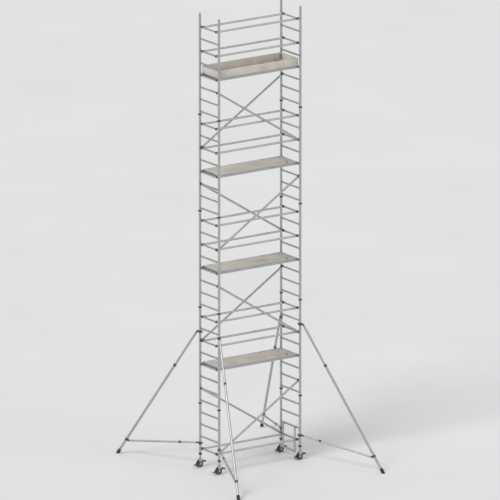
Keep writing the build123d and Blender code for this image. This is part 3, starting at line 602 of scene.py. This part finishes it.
def latch(slope):
    """The latch arc below the rung, with its thumb tab away from the neck."""
    arc = round_bar(latch_r, latch_wide, 32, axis="Y")
    combine(arc, round_bar(jaw_bore, 0.1, 32, axis="Y"), "DIFFERENCE")
    combine(arc, block((0.08, 0.1, 0.06), (0, 0, 0.03 - jaw_drop - 0.0002)), "DIFFERENCE")
    tab = block((0.014, latch_wide, 0.008), (-0.0263, 0, -0.016))
    choose(tab, lambda centre, normal: normal.x < -0.9)
    bpy.ops.transform.resize(value=(1, 0.8, 0.6))
    bpy.ops.object.mode_set(mode="OBJECT")
    ridges = [block((0.0012, 0.012, 0.0012), (-0.0325 + 0.0032 * n, 0, -0.0203)) for n in range(4)]
    arc = join(ease(arc, 0.0006), ease(tab, 0.001), *ridges)
    if slope < 0:
        keep = Matrix.Rotation(-slope, 4, "Y")
        wedge = round_bar(neck_r + 0.0002, 0.06, 24, (0.05, 0, 0), "X")
        wedge.data.transform(keep)
        combine(arc, wedge, "DIFFERENCE")
    return arc


def rung_spot(side, y, rung):
    """The placing matrix of a claw on the left (-1) or right (1) frame, its neck facing inwards."""
    place = Matrix.Translation((side * post_x, y, first_rung + rung * rung_pitch))
    return place @ Matrix.Rotation(0 if side < 0 else pi, 4, "Z")


claw_spots = {0: [], 1: [], -1: []}
for y in (-ledger_y, ledger_y):
    claw_spots[0] += [rung_spot(side, y, rung) for rung in rails for side in (-1, 1)]
for left, right in diagonals:
    for y, ends in ((-diagonal_y, (left, right)), (diagonal_y, (right, left))):
        low_side = -1 if ends[0] < ends[1] else 1
        claw_spots[1].append(rung_spot(low_side, y, min(ends)))
        claw_spots[-1].append(rung_spot(-low_side, y, max(ends)))
claws = []
rivets = []
latches = []
for way, spots in claw_spots.items():
    slope = way * diagonal_slope
    claws.append(copies(claw(slope), spots))
    rivets.append(copies(claw_rivets(slope), spots))
    latches.append(copies(latch(slope), spots))
claws = join(*claws)
latches = join(*latches)
complete(claws, "claw_castings", "tower", claw_coat, stands_for=["brace_claws"])
complete(latches, "claw_latch_levers", "tower", latch_nylon, stands_for=["claw_latches"])
complete(join(*rivets), "claw_rivets", "tower", spigot_alloy, 60)

# ---- platform hooks
# Cast hooks bolted to the ends of the platform beams; they drop over the rungs.
dressed("platform_hooks", hook_coat, edge=0.0008)

# ---- platforms
# Box beams in mill-finish aluminium with a deck of film-faced birch plywood; its upper face is
# pressed with a fine wire-mesh grip pattern, and it is riveted down along the beams.
beam_alloy = worn_alloy("platform_beam", (0.52, 0.53, 0.545), "X", 0.42)[0]


def plywood(name, film, edge_light, edge_dark, grip):
    """Film-faced plywood with plies on its cut edges: a deck with grip mesh, or boards on edge."""
    made, nodes, links, shader, coords = new_material(name)
    facing = nodes.new("ShaderNodeSeparateXYZ")
    links.new(nodes.new("ShaderNodeNewGeometry").outputs["Normal"], facing.inputs["Vector"])
    flat = maths(nodes, links, "ABSOLUTE", facing.outputs["Z"])
    grain = noise(nodes, links, stretched(nodes, links, coords, (0.6, 6, 6)), 6, 6, 0.6)
    dirt = noise(nodes, links, coords, 3.5, 6, 0.6)
    dull = tuple(0.82 * part for part in film)
    worn = ramp(nodes, links, dirt, [(0.35, dull), (0.6, film)])
    tint = nodes.new("ShaderNodeMix")
    tint.data_type = "RGBA"
    tint.blend_type = "MULTIPLY"
    tint.inputs["Factor"].default_value = 0.5
    links.new(worn, tint.inputs["A"])
    links.new(ramp(nodes, links, grain, [(0.3, 0.82), (0.7, 1.0)]), tint.inputs["B"])
    plies = nodes.new("ShaderNodeTexWave")
    plies.bands_direction = "Z"
    plies_from = coords
    if not grip:
        outline = nodes.new("ShaderNodeSeparateXYZ")
        links.new(coords, outline.inputs["Vector"])
        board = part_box("toe_boards")[1]
        from_ends = maths(nodes, links, "ABSOLUTE", outline.outputs["X"])
        from_sides = maths(nodes, links, "ABSOLUTE", outline.outputs["Y"])
        ends = maths(nodes, links, "SUBTRACT", from_ends, board.x)
        sides = maths(nodes, links, "SUBTRACT", from_sides, board.y)
        inward = nodes.new("ShaderNodeCombineXYZ")
        links.new(maths(nodes, links, "MAXIMUM", ends, sides), inward.inputs["Z"])
        plies_from = inward.outputs["Vector"]
    plies.inputs["Scale"].default_value = 110
    plies.inputs["Distortion"].default_value = 0.4
    links.new(plies_from, plies.inputs["Vector"])
    edges = ramp(nodes, links, plies.outputs["Fac"], [(0.35, edge_dark), (0.65, edge_light)])
    faces = nodes.new("ShaderNodeMix")
    faces.data_type = "RGBA"
    printed = maths(nodes, links, "GREATER_THAN" if grip else "LESS_THAN", flat, 0.6)
    links.new(printed, faces.inputs["Factor"])
    links.new(edges, faces.inputs["A"])
    links.new(tint.outputs["Result"], faces.inputs["B"])
    links.new(faces.outputs["Result"], shader.inputs["Base Color"])
    links.new(span(nodes, links, dirt, 0.42, 0.68), shader.inputs["Roughness"])
    if grip:
        cells = nodes.new("ShaderNodeTexVoronoi")
        cells.feature = "DISTANCE_TO_EDGE"
        cells.inputs["Scale"].default_value = 160
        cells.inputs["Randomness"].default_value = 0.12
        links.new(coords, cells.inputs["Vector"])
        mesh = ramp(nodes, links, cells.outputs["Distance"], [(0.02, 1.0), (0.09, 0.0)])
        bump(nodes, links, shader, mesh, 0.8, 0.0006)
    else:
        bump(nodes, links, shader, grain, 0.3, 0.0004)
    return made


deck_ply = plywood("deck_plywood", (0.62, 0.585, 0.52), (0.70, 0.58, 0.42), (0.42, 0.30, 0.19), True)
toe_ply = plywood("toe_plywood", (0.74, 0.70, 0.62), (0.72, 0.60, 0.44), (0.45, 0.33, 0.21), False)


def paint(piece, finish, test):
    """A second finish on the faces whose centre and normal pass a test."""
    piece.data.materials.append(finish)
    for face in piece.data.polygons:
        if test(face.center, face.normal):
            face.material_index = len(piece.data.materials) - 1


def zinc_plate(name, base, rough):
    """Bright zinc with the faint cloudy spangle and finger marks of plated steel."""
    made, nodes, links, shader, coords = new_material(name)
    spangle = nodes.new("ShaderNodeTexVoronoi")
    spangle.inputs["Scale"].default_value = 130
    links.new(coords, spangle.inputs["Vector"])
    clouds = noise(nodes, links, coords, 40, 5)
    both = maths(nodes, links, "MULTIPLY_ADD", spangle.outputs["Distance"], 0.35, clouds)
    dark = tuple(0.74 * part for part in base)
    links.new(ramp(nodes, links, both, [(0.4, dark), (0.85, base)]), shader.inputs["Base Color"])
    links.new(span(nodes, links, clouds, rough - 0.1, rough + 0.15), shader.inputs["Roughness"])
    shader.inputs["Metallic"].default_value = 1
    bump(nodes, links, shader, clouds, 0.2, 0.0003)
    return made


def domed_rivet(radius, at):
    """A low domed rivet head, facing up."""
    rivet = round_bar(radius, 0.0012, 10, at)
    choose(rivet, lambda centre, normal: normal.z > 0.9)
    bpy.ops.mesh.inset(thickness=0.4 * radius, depth=0.0007)
    bpy.ops.object.mode_set(mode="OBJECT")
    return rivet


def hexagon_bolt(size, thick, at, axis):
    """A hexagon head with a chamfered face."""
    head = round_bar(size, thick, 6, at, axis)
    return ease(head, 0.12 * size, 1)


floors = [first_rung + n * rung_pitch for n in (7, 15, 23, 31)]
deck_up = 0.050
beam_up = 0.051
beam_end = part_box("platform_frames")[1].x
deck_half = 0.262
hatch_left = 0.315
hatch_right = 0.905
hatch_half = 0.220
zinc = zinc_plate("zinc_plate", (0.62, 0.63, 0.64), 0.34)

frames = dressed("platform_frames", beam_alloy, edge=0.0006)


def on_bracket(centre, normal):
    """Whether a face of a platform lies above its beams, on a trapdoor hinge bracket."""
    above_floor = (centre.z - first_rung) % (8 * rung_pitch) - 7 * rung_pitch
    return above_floor > beam_up + 0.0005


paint(frames, zinc, on_bracket)
dressed("platform_decks", deck_ply, edge=0.0006)

deck_rivets = []
rivet_gap = 0.1325
rivet_r = 0.0045
rivet_up = deck_up + 0.0004
for n in range(15):
    for side in (-1, 1):
        deck_rivets.append(domed_rivet(rivet_r, (rivet_gap * (n - 7), side * deck_half, rivet_up)))
for x in (-beam_end + 0.035, hatch_left - 0.012, hatch_right + 0.018):
    for y in (-0.16, -0.06, 0.06, 0.16):
        deck_rivets.append(domed_rivet(rivet_r, (x, y, rivet_up)))
deck_rivets = copies(join(*deck_rivets), [Matrix.Translation((0, 0, z)) for z in floors])
complete(deck_rivets, "deck_rivets", "tower", spigot_alloy, 60)

bolts = []
bolt_x = beam_end - 0.022
bolt_y = 0.302
for end in (-1, 1):
    for side in (-1, 1):
        for up in (0.008, 0.036):
            bolts.append(hexagon_bolt(0.0065, 0.004, (end * bolt_x, side * bolt_y, up), "Y"))
bolts = copies(join(*bolts), [Matrix.Translation((0, 0, z)) for z in floors])
complete(bolts, "hook_bolts", "tower", zinc)

# ---- trapdoors
# A panel of the same plywood on two zinc hinge straps, with a hand slot and a nylon turn-button
# catch near its front edge.
hinge_centres = (0.445, 0.799)
strap_rivets = ((-0.02, -0.055), (0.02, -0.055), (-0.02, -0.02), (0.02, -0.02))
strap_top = 0.0044
catch_x = 0.76
catch_y = -hatch_half + 0.026
catch_nylon = dark_finish("catch_moulding", (0.03, 0.03, 0.033), 0.4, 1500)
for number, floor_z in enumerate(floors, start=1):
    panel = dressed(f"hatch_{number}", deck_ply, edge=0.0006)
    paint(panel, zinc, lambda centre, normal: centre.z > floor_z + deck_up + 0.0004)
    fixings = []
    for x in hinge_centres:
        for dx, dy in strap_rivets:
            fixings.append(domed_rivet(0.004, (x + dx, hatch_half + dy, floor_z + deck_up + strap_top)))
    complete(join(*fixings), f"hinge_rivets_{number}", f"hatch_{number}", zinc, 60)
    plate = block((0.030, 0.044, 0.003), (catch_x, catch_y, floor_z + deck_up + 0.0015))
    button = block((0.058, 0.014, 0.005), (catch_x, catch_y, floor_z + deck_up + 0.0055))
    choose(button, lambda centre, normal: abs(normal.x) > 0.9)
    bpy.ops.transform.resize(value=(1, 0.65, 0.6))
    bpy.ops.object.mode_set(mode="OBJECT")
    boss = round_bar(0.009, 0.007, 24, (catch_x, catch_y, floor_z + deck_up + 0.0065))
    catch = join(ease(plate, 0.0008), ease(button, 0.0012), ease(boss, 0.001))
    complete(catch, f"hatch_catch_{number}", f"hatch_{number}", catch_nylon)

# ---- toe boards
# Sealed plywood boards on edge, held at the corners by pressed zinc angles and coach bolts.
dressed("toe_boards", toe_ply, edge=0.0015)
toe_low, toe_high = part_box("toe_boards")
toe_thick = 0.025
angle_leg = 0.052
angle_tall = 0.118
angle_wall = 0.002
toe_mid = (toe_low.z + toe_high.z) / 2
inner_x = toe_high.x - toe_thick
inner_y = toe_high.y - toe_thick
angle = block((angle_leg, angle_wall, angle_tall), (-angle_leg / 2, -angle_wall / 2, 0))
combine(angle, block((angle_wall, angle_leg, angle_tall), (-angle_wall / 2, -angle_leg / 2, 0)), "UNION")
ease(angle, 0.0006)
for up in (-0.038, 0.038):
    for at, axis in (((-0.034, -0.0035, up), "Y"), ((-0.0035, -0.034, up), "X")):
        angle = join(angle, hexagon_bolt(0.0065, 0.003, at, axis))
spots = [
    Matrix.Translation((sx * inner_x, sy * inner_y, toe_mid)) @ Matrix.Rotation(turn, 4, "Z")
    for sx, sy, turn in ((1, 1, 0), (-1, 1, pi / 2), (-1, -1, pi), (1, -1, -pi / 2))
]
complete(copies(angle, spots), "toe_board_angles", "tower", zinc)

# ---- entry step
# Two side tubes and a welded step rung; flat steel hooks hang it on the second rung, and nylon
# plugs close the feet of the tubes.
step = solids("entry_step")
step_half = 0.205
step_rung_z = 0.150
step_r = 0.019
step_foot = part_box("entry_step")[0].z
step_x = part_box("entry_step")[0].x + step_r
tubes = join(*step[:3])
complete(tubes, "entry_step_tubes", "tower", brace_alloy, stands_for=["entry_step"])
complete(join(*step[3:]), "entry_step_hooks", "tower", zinc)
spots = [
    Matrix.Translation((step_x, side * (step_half - step_r), step_rung_z)) @ Matrix.Rotation(turn, 4, "Z")
    for side, turn in ((-1, pi), (1, 0))
]
welds = copies(weld_bead(weld_ring, step_r + 0.002), spots)
complete(welds, "step_welds", "tower", weld_alloy, 60)
plug_tall = 0.003
plug = round_bar(step_r, plug_tall, 32)
choose(plug, lambda centre, normal: normal.z < -0.9)
bpy.ops.mesh.inset(thickness=0.004, depth=0.0004)
bpy.ops.object.mode_set(mode="OBJECT")
ease(plug, 0.0008)
spots = [Matrix.Translation((step_x, side * step_half, step_foot - plug_tall / 2)) for side in (-1, 1)]
complete(copies(plug, spots), "step_foot_plugs", "tower", catch_nylon)

# ---- castor legs
# Zinc-plated steel stem with a two-start rolled thread, on a flange that turns on the fork's cup.
corners = {"front_left": (-1, -1), "front_right": (1, -1), "back_left": (-1, 1), "back_right": (1, 1)}
crest_r = 0.019
root_r = 0.0174
thread_lead = 0.012
thread_pitch = 0.006
flange_low = 0.1815
flange_tall = 0.007
thread_low = flange_low + flange_tall
leg_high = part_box("castor_leg_front_left")[1].z
thread_turns = int((leg_high - thread_low) / thread_lead) - 1
outline = []
for start in (0, thread_pitch):
    for up, r in ((0, root_r), (0.0014, root_r), (0.0026, crest_r), (0.0044, crest_r), (0.0056, root_r)):
        outline.append((r, 0, start + up))
outline.append((root_r, 0, thread_lead))
strip = bpy.data.meshes.new("thread")
strip.from_pydata(outline, [(n, n + 1) for n in range(len(outline) - 1)], [])
thread = bpy.data.objects.new("thread", strip)
scene.collection.objects.link(thread)
pick(thread)
winding = thread.modifiers.new("winding", "SCREW")
winding.screw_offset = thread_lead
winding.iterations = thread_turns
winding.steps = winding.render_steps = 24
bpy.ops.object.modifier_apply(modifier=winding.name)
bpy.ops.object.mode_set(mode="EDIT")
bpy.ops.mesh.select_all(action="SELECT")
bpy.ops.mesh.remove_doubles(threshold=0.00002)
bpy.ops.mesh.select_all(action="DESELECT")
bpy.ops.mesh.select_mode(type="EDGE")
bpy.ops.mesh.select_non_manifold()
bpy.ops.mesh.edge_face_add()
bpy.ops.mesh.select_mode(type="FACE")
bpy.ops.object.mode_set(mode="OBJECT")
thread.data.transform(Matrix.Translation((0, 0, thread_low)))
flange_r = 0.030
flange = ease(round_bar(flange_r, flange_tall, 48, (0, 0, flange_low + flange_tall / 2)), 0.0012)
shoulder = ease(round_bar(0.0189, thread_lead + 0.002, 40, (0, 0, thread_low + thread_lead / 2)), 0.0008)
stem_end = ease(round_bar(0.0172, 0.03, 32, (0, 0, leg_high - 0.015)), 0.002)
kingpin_r = 0.008
kingpin = ease(round_bar(kingpin_r, 0.026, 24, (0, 0, 0.170)), 0.0005)
kingpin_head = ease(round_bar(kingpin_r + 0.003, 0.0048, 24, (0, 0, 0.1551)), 0.001)
stem = join(thread, flange, shoulder, stem_end, kingpin, kingpin_head)
for corner, (sx, sy) in corners.items():
    place = Matrix.Translation((sx * post_x, sy * post_y, 0))
    twin = placed(stem, place)
    name = f"castor_leg_{corner}"
    complete(twin, f"threaded_stem_{corner}", name, zinc, stands_for=[name])
bpy.data.objects.remove(stem)

# ---- castor wing nuts
# A cast hub with two wings; it carries the post on the thread and is turned by hand to level.
nut_coat = dark_finish("nut_casting", (0.04, 0.04, 0.043), 0.5, 700, 0.3, 0.35)
nut_low, nut_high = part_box("castor_nut_front_left")
nut_tall = nut_high.z - nut_low.z
nut_z = (nut_high.z + nut_low.z) / 2
wing_span = nut_high.y - nut_low.y
wings = block((0.024, wing_span, nut_tall - 0.004), (0, 0, 0))
choose(wings, lambda centre, normal: abs(normal.y) > 0.9)
bpy.ops.transform.resize(value=(0.75, 1, 0.62))
bpy.ops.object.mode_set(mode="OBJECT")
ease(wings, 0.004, 3)
nut_r = 0.030
nut_bore = 0.0193
hub = round_bar(nut_r, nut_tall, 40)
waisted(hub, 0.011, 0.002)
combine(hub, wings, "UNION")
combine(hub, round_bar(nut_bore, 0.1, 40), "DIFFERENCE")
ease(hub, 0.0008)
for corner, (sx, sy) in corners.items():
    twin = placed(hub, Matrix.Translation((sx * post_x, sy * post_y, nut_z)))
    name = f"castor_nut_{corner}"
    complete(twin, f"wing_nut_{corner}", name, nut_coat, stands_for=[name])
bpy.data.objects.remove(hub)

# ---- castor wheels
# A moulded nylon centre, a web with ribs between its rim and hub, in a black rubber tyre with a
# groove round the middle of its tread.
wheel_r = 0.075
tyre_half = 0.0225
core_r = 0.058
tread_groove = 0.0025
axle_bore = 0.00606
trail = 0.015
wheel_nylon = dark_finish("wheel_nylon", (0.17, 0.17, 0.18), 0.42, 900)
tyre_rubber = dark_finish("tyre_rubber", (0.028, 0.028, 0.029), 0.72, 1100)
core = round_bar(core_r - 0.0002, 0.039, 56, axis="Y")
choose(core, lambda centre, normal: abs(normal.y) > 0.9)
rim_step = (0.0073, 0)
rim_wall = (0.002, -0.0115)
web = (0.0235, 0)
hub_wall = (0.0025, 0.0175)
hub_face = (0.0225 - axle_bore - 0.0001, 0)
for inset, depth in (rim_step, rim_wall, web, hub_wall, hub_face):
    bpy.ops.mesh.inset(thickness=inset, depth=depth)
bpy.ops.mesh.bridge_edge_loops()
bpy.ops.object.mode_set(mode="OBJECT")
ease(core, 0.0009)
ribs = []
rib_count = 10
rib_middle = 0.0365
for n in range(rib_count):
    turn = 2 * pi * n / rib_count
    rib_at = (rib_middle * cos(turn), 0, rib_middle * sin(turn))
    rib = block((0.029, 0.026, 0.0035), rib_at, (0, -turn, 0))
    ribs.append(ease(rib, 0.0006))
core = join(core, *ribs)
tyre = round_bar(wheel_r, 2 * tyre_half, 64, axis="Y")
choose(tyre, lambda centre, normal: abs(normal.y) > 0.9)
bpy.ops.mesh.inset(thickness=wheel_r - core_r, depth=0)
bpy.ops.mesh.bridge_edge_loops()
bpy.ops.object.mode_set(mode="OBJECT")
ease(tyre, 0.005, 4)
for cut_y in (-tread_groove, tread_groove):
    choose(tyre, lambda centre, normal: True)
    bpy.ops.mesh.bisect(plane_co=(0, cut_y, 0), plane_no=(0, 1, 0))
tread_from = core_r + 0.01
choose(tyre, lambda centre, normal: abs(centre.y) < tread_groove and hypot(centre.x, centre.z) > tread_from)
sink(0.002)
for corner, (sx, sy) in corners.items():
    name = f"castor_wheel_{corner}"
    place = Matrix.Translation((sx * post_x - trail, sy * post_y, wheel_r))
    for pattern, part, finish in ((core, "wheel_centre", wheel_nylon), (tyre, "wheel_tyre", tyre_rubber)):
        twin = placed(pattern, place)
        complete(twin, f"{part}_{corner}", name, finish, 30, stands_for=[name])
bpy.data.objects.remove(core)
bpy.data.objects.remove(tyre)

# ---- castor forks
# Pressed and welded zinc-plated steel with the axle bolted through; a nylon seal closes the swivel
# bearing under the flange, and a grease nipple stands out from the cup.
pedal_coat = dark_finish("pedal_pressing", (0.035, 0.035, 0.035), 0.4, 900, 0.2, 0.35)
cup_r = 0.032
plate_up = 0.164
seal_up = 0.18075
for corner, (sx, sy) in corners.items():
    body = f"castor_fork_{corner}"
    dressed(body, zinc, edge=0.0008)
    deselect()
    bpy.ops.mesh.primitive_torus_add(
        location=(0, 0, seal_up), major_radius=0.027, minor_radius=0.0007, major_segments=40, minor_segments=8
    )
    seal = bpy.context.object
    bpy.ops.object.transform_apply(location=True)
    seal.data.transform(Matrix.Translation((sx * post_x, sy * post_y, 0)))
    complete(seal, f"bearing_seal_{corner}", body, catch_nylon)
    deselect()
    bpy.ops.mesh.primitive_torus_add(
        location=(0, 0, plate_up),
        major_radius=cup_r + 0.0005,
        minor_radius=0.002,
        major_segments=48,
        minor_segments=8,
    )
    seam = bpy.context.object
    bpy.ops.object.transform_apply(location=True)
    nipple = round_bar(0.003, 0.006, 12, (-cup_r - 0.002, 0, 0.172), "X")
    choose(nipple, lambda centre, normal: normal.x < -0.9)
    bpy.ops.mesh.inset(thickness=0.0008, depth=0.001)
    bpy.ops.object.mode_set(mode="OBJECT")
    seam = join(seam, nipple)
    seam.data.transform(Matrix.Translation((sx * post_x, sy * post_y, 0)))
    complete(seam, f"cup_weld_{corner}", body, zinc, 60)

# ---- castor brake pedals
# A dark coated pressing rocks on the fork's stubs: the low pad is trodden to brake, the high one
# to release, and both pads have raised grip bars.
pads = ((-0.122, 0.050), (0.114, 0.112))
pad_up = 0.008
bars = [
    ease(block((0.0024, 0.062, 0.0016), (x + 0.0055 * n, 0, z + pad_up + 0.0006)), 0.0005)
    for x, z in pads
    for n in (-2, -1, 0, 1, 2)
]
grip = join(*bars)
for corner, (sx, sy) in corners.items():
    name = f"castor_pedal_{corner}"
    dressed(name, pedal_coat, edge=0.0006)
    twin = placed(grip, Matrix.Translation((sx * post_x, sy * post_y, 0)))
    complete(twin, f"pedal_grip_{corner}", name, pedal_coat)
bpy.data.objects.remove(grip)

# ---- stabilisers
# Each is a telescopic aluminium leg on a cast coupler that clamps round the post, braced by a
# telescopic strut from a second coupler low down; the leg ends in a ribbed rubber foot.
stab_alloy = worn_alloy("stabiliser_tube", (0.56, 0.57, 0.58), "Z", 0.47)[0]
foot_out = 0.780
foot_side = 1.820
coupler_high = 2.830
coupler_low = 0.505
coupler_reach = 0.070
coupler_tall = 0.056
cheek_y = 0.0093
eye_r = 0.016
collar_at = 0.948
foot_reach = hypot(foot_out, foot_side)
leg_start = Vector((coupler_reach, 0, coupler_high))
leg_run = Vector((foot_reach, 0, 0)) - leg_start
leg_long = leg_run.length
leg_way = leg_run.normalized()
leg_turn = leg_way.to_track_quat("Z", "Y").to_matrix().to_4x4()


def height_of(piece):
    """A measure of how high a piece lies, to sort pieces by."""
    return sum((piece.matrix_world @ Vector(corner)).z for corner in piece.bound_box)


def on_leg(distance):
    """The matrix that takes Z to the leg's axis, a distance from the upper pin."""
    return Matrix.Translation(leg_start + leg_way * distance) @ leg_turn


ring_r = 0.0343
ring_bore = 0.0253
ring = round_bar(ring_r, coupler_tall, 44)
waisted(ring, 0.011, 0.002)
for side in (-1, 1):
    cheek = block((coupler_reach, 0.008, 2 * eye_r), (coupler_reach / 2, side * cheek_y, 0))
    combine(cheek, round_bar(eye_r, 0.008, 28, (coupler_reach, side * cheek_y, 0), "Y"), "UNION")
    combine(ring, cheek, "UNION")
    combine(ring, block((0.028, 0.006, 0.034), (-0.044, side * 0.0055, 0)), "UNION")
combine(ring, round_bar(ring_bore, 0.2, 44), "DIFFERENCE")
combine(ring, block((0.03, 0.005, 0.08), (-0.036, 0, 0)), "DIFFERENCE")
ease(ring, 0.001)
head_y = 0.0150
stud_x = -0.050
pin = ease(round_bar(0.006, 0.0386, 18, (coupler_reach, 0, 0), "Y"), 0.0008)
head = ease(round_bar(0.0095, 0.003, 24, (coupler_reach, head_y, 0), "Y"), 0.0008)
stud = round_bar(0.004, 0.034, 14, (stud_x, 0.003, 0), "Y")
nut_hub = ease(round_bar(0.0075, 0.008, 18, (stud_x, 0.0125, 0), "Y"), 0.0008)
nut_wings = ease(block((0.012, 0.004, 0.034), (stud_x, 0.0165, 0)), 0.0012)
stud_head = hexagon_bolt(0.0075, 0.005, (stud_x, -0.011, 0), "Y")
hardware = join(pin, head, stud, nut_hub, nut_wings, stud_head)

band_inner = 0.013
band_outer = 0.019
lock_up = 0.0125
pull_ring_r = 0.009
collar = round_bar(0.0292, 0.050, 40)
for height in (-band_outer, -band_inner, band_inner, band_outer):
    level_cut(collar, height)
choose(collar, lambda centre, normal: band_inner < abs(centre.z) < band_outer and abs(normal.z) < 0.1)
sink(0.0012)
combine(collar, round_bar(0.009, 0.012, 24, (0, 0.032, lock_up), "Y"), "UNION")
combine(collar, round_bar(0.0225, 0.1, 40), "DIFFERENCE")
combine(collar, round_bar(0.0252, 0.1, 40, (0, 0, -0.05)), "DIFFERENCE")
ease(collar, 0.0008)
lock_pin = ease(round_bar(0.0045, 0.012, 16, (0, 0.043, lock_up), "Y"), 0.0006)
deselect()
bpy.ops.mesh.primitive_torus_add(
    location=(0, 0.0445, lock_up + pull_ring_r),
    rotation=(0, pi / 2, 0),
    major_radius=pull_ring_r,
    minor_radius=0.0012,
    major_segments=28,
    minor_segments=8,
)
bpy.ops.object.transform_apply(location=True, rotation=True)
lock_pin = join(lock_pin, bpy.context.object)

foot_r = 0.031
foot_long = 0.110
groove_count = 4
groove_low = 0.024
groove_wide = 0.006
groove_pitch = 0.017
shoe = round_bar(foot_r, 0.16, 44, (0, 0, 0.08))
for n in range(groove_count):
    for height in (groove_low + groove_pitch * n, groove_low + groove_wide + groove_pitch * n):
        level_cut(shoe, height)


def in_groove(centre, normal):
    """Whether a side face of the shoe lies in one of its grooves."""
    up = centre.z - groove_low
    return abs(normal.z) < 0.1 and 0 < up < groove_count * groove_pitch and up % groove_pitch < groove_wide


choose(shoe, in_groove)
sink(0.0022)
choose(shoe, lambda centre, normal: normal.z < -0.9)
bpy.ops.mesh.inset(thickness=0.0056, depth=0)
bpy.ops.mesh.inset(thickness=0.0005, depth=-0.02)
bpy.ops.object.mode_set(mode="OBJECT")
ease(shoe, 0.0008)
foot_rubber = dark_finish("foot_rubber", (0.026, 0.026, 0.027), 0.75, 900)

foot_turn = atan2(foot_side, foot_out)
for corner, (sx, sy) in corners.items():
    place = Matrix.Translation((sx * post_x, sy * post_y, 0))
    place @= Matrix.Rotation(sy * (foot_turn if sx > 0 else pi - foot_turn), 4, "Z")
    arm = f"stabiliser_arm_{corner}"
    leg = f"stabiliser_leg_{corner}"
    both = [place @ Matrix.Translation((0, 0, z)) for z in (coupler_low, coupler_high)]
    for pattern, part, finish, slot in (
        (ring, "couplers", claw_coat, "claw_casting"),
        (hardware, "coupler_bolts", zinc, "zinc_steel"),
    ):
        pair = join(*[placed(pattern, spot) for spot in both])
        stands_for = [f"stabiliser_low_coupler_{corner}"] if part == "couplers" else []
        complete(pair, f"stabiliser_{part}_{corner}", arm, finish, 30, stands_for)

    upper = solids(f"stabiliser_leg_upper_{corner}")
    tube = upper.pop(0)
    upper.sort(key=height_of)
    eye = upper.pop(0)
    bpy.data.objects.remove(upper[0])
    name = f"stabiliser_leg_upper_{corner}"
    complete(tube, f"inner_leg_tube_{corner}", arm, stab_alloy, stands_for=[name])
    complete(ease(eye, 0.0006), f"leg_eye_{corner}", arm, claw_coat)

    lower = solids(f"stabiliser_leg_lower_{corner}")
    tube = lower.pop(0)
    lower.sort(key=height_of)
    bracket = lower[1]
    bpy.data.objects.remove(lower[0])
    bpy.data.objects.remove(lower[2])
    name = f"stabiliser_leg_lower_{corner}"
    complete(tube, f"outer_leg_tube_{corner}", leg, stab_alloy, stands_for=[name])
    complete(ease(bracket, 0.0008), f"strut_bracket_{corner}", leg, claw_coat)
    for pattern, part, finish, slot, distance in (
        (collar, "leg_collar", claw_coat, "claw_casting", collar_at),
        (lock_pin, "leg_lock_pin", zinc, "zinc_steel", collar_at),
        (shoe, "rubber_foot", foot_rubber, "pedal_steel", leg_long - foot_long),
    ):
        twin = placed(pattern, place @ on_leg(distance))
        if part == "rubber_foot":
            choose(twin, lambda centre, normal: True)
            bpy.ops.mesh.bisect(plane_co=(0, 0, 0), plane_no=(0, 0, 1), use_fill=True, clear_inner=True)
            bpy.ops.object.mode_set(mode="OBJECT")
        complete(twin, f"{part}_{corner}", leg, finish)

    name = f"stabiliser_strut_outer_{corner}"
    body = f"stabiliser_strut_{corner}"
    tube, *ends = solids(name)
    complete(tube, f"strut_outer_tube_{corner}", body, stab_alloy, stands_for=[name])
    ends = join(*[ease(piece, 0.0006) for piece in ends])
    complete(ends, f"strut_outer_ends_{corner}", body, claw_coat)
    name = f"stabiliser_strut_inner_{corner}"
    body = f"stabiliser_strut_rod_{corner}"
    rod = join(*solids(name))
    complete(rod, f"strut_inner_tube_{corner}", body, stab_alloy, stands_for=[name])
    low_pin = place @ Vector((coupler_reach, 0, coupler_low))
    paint(rod, claw_coat, lambda centre, normal: (centre - low_pin).length < 0.024)
for pattern in (ring, hardware, collar, lock_pin, shoe):
    bpy.data.objects.remove(pattern)
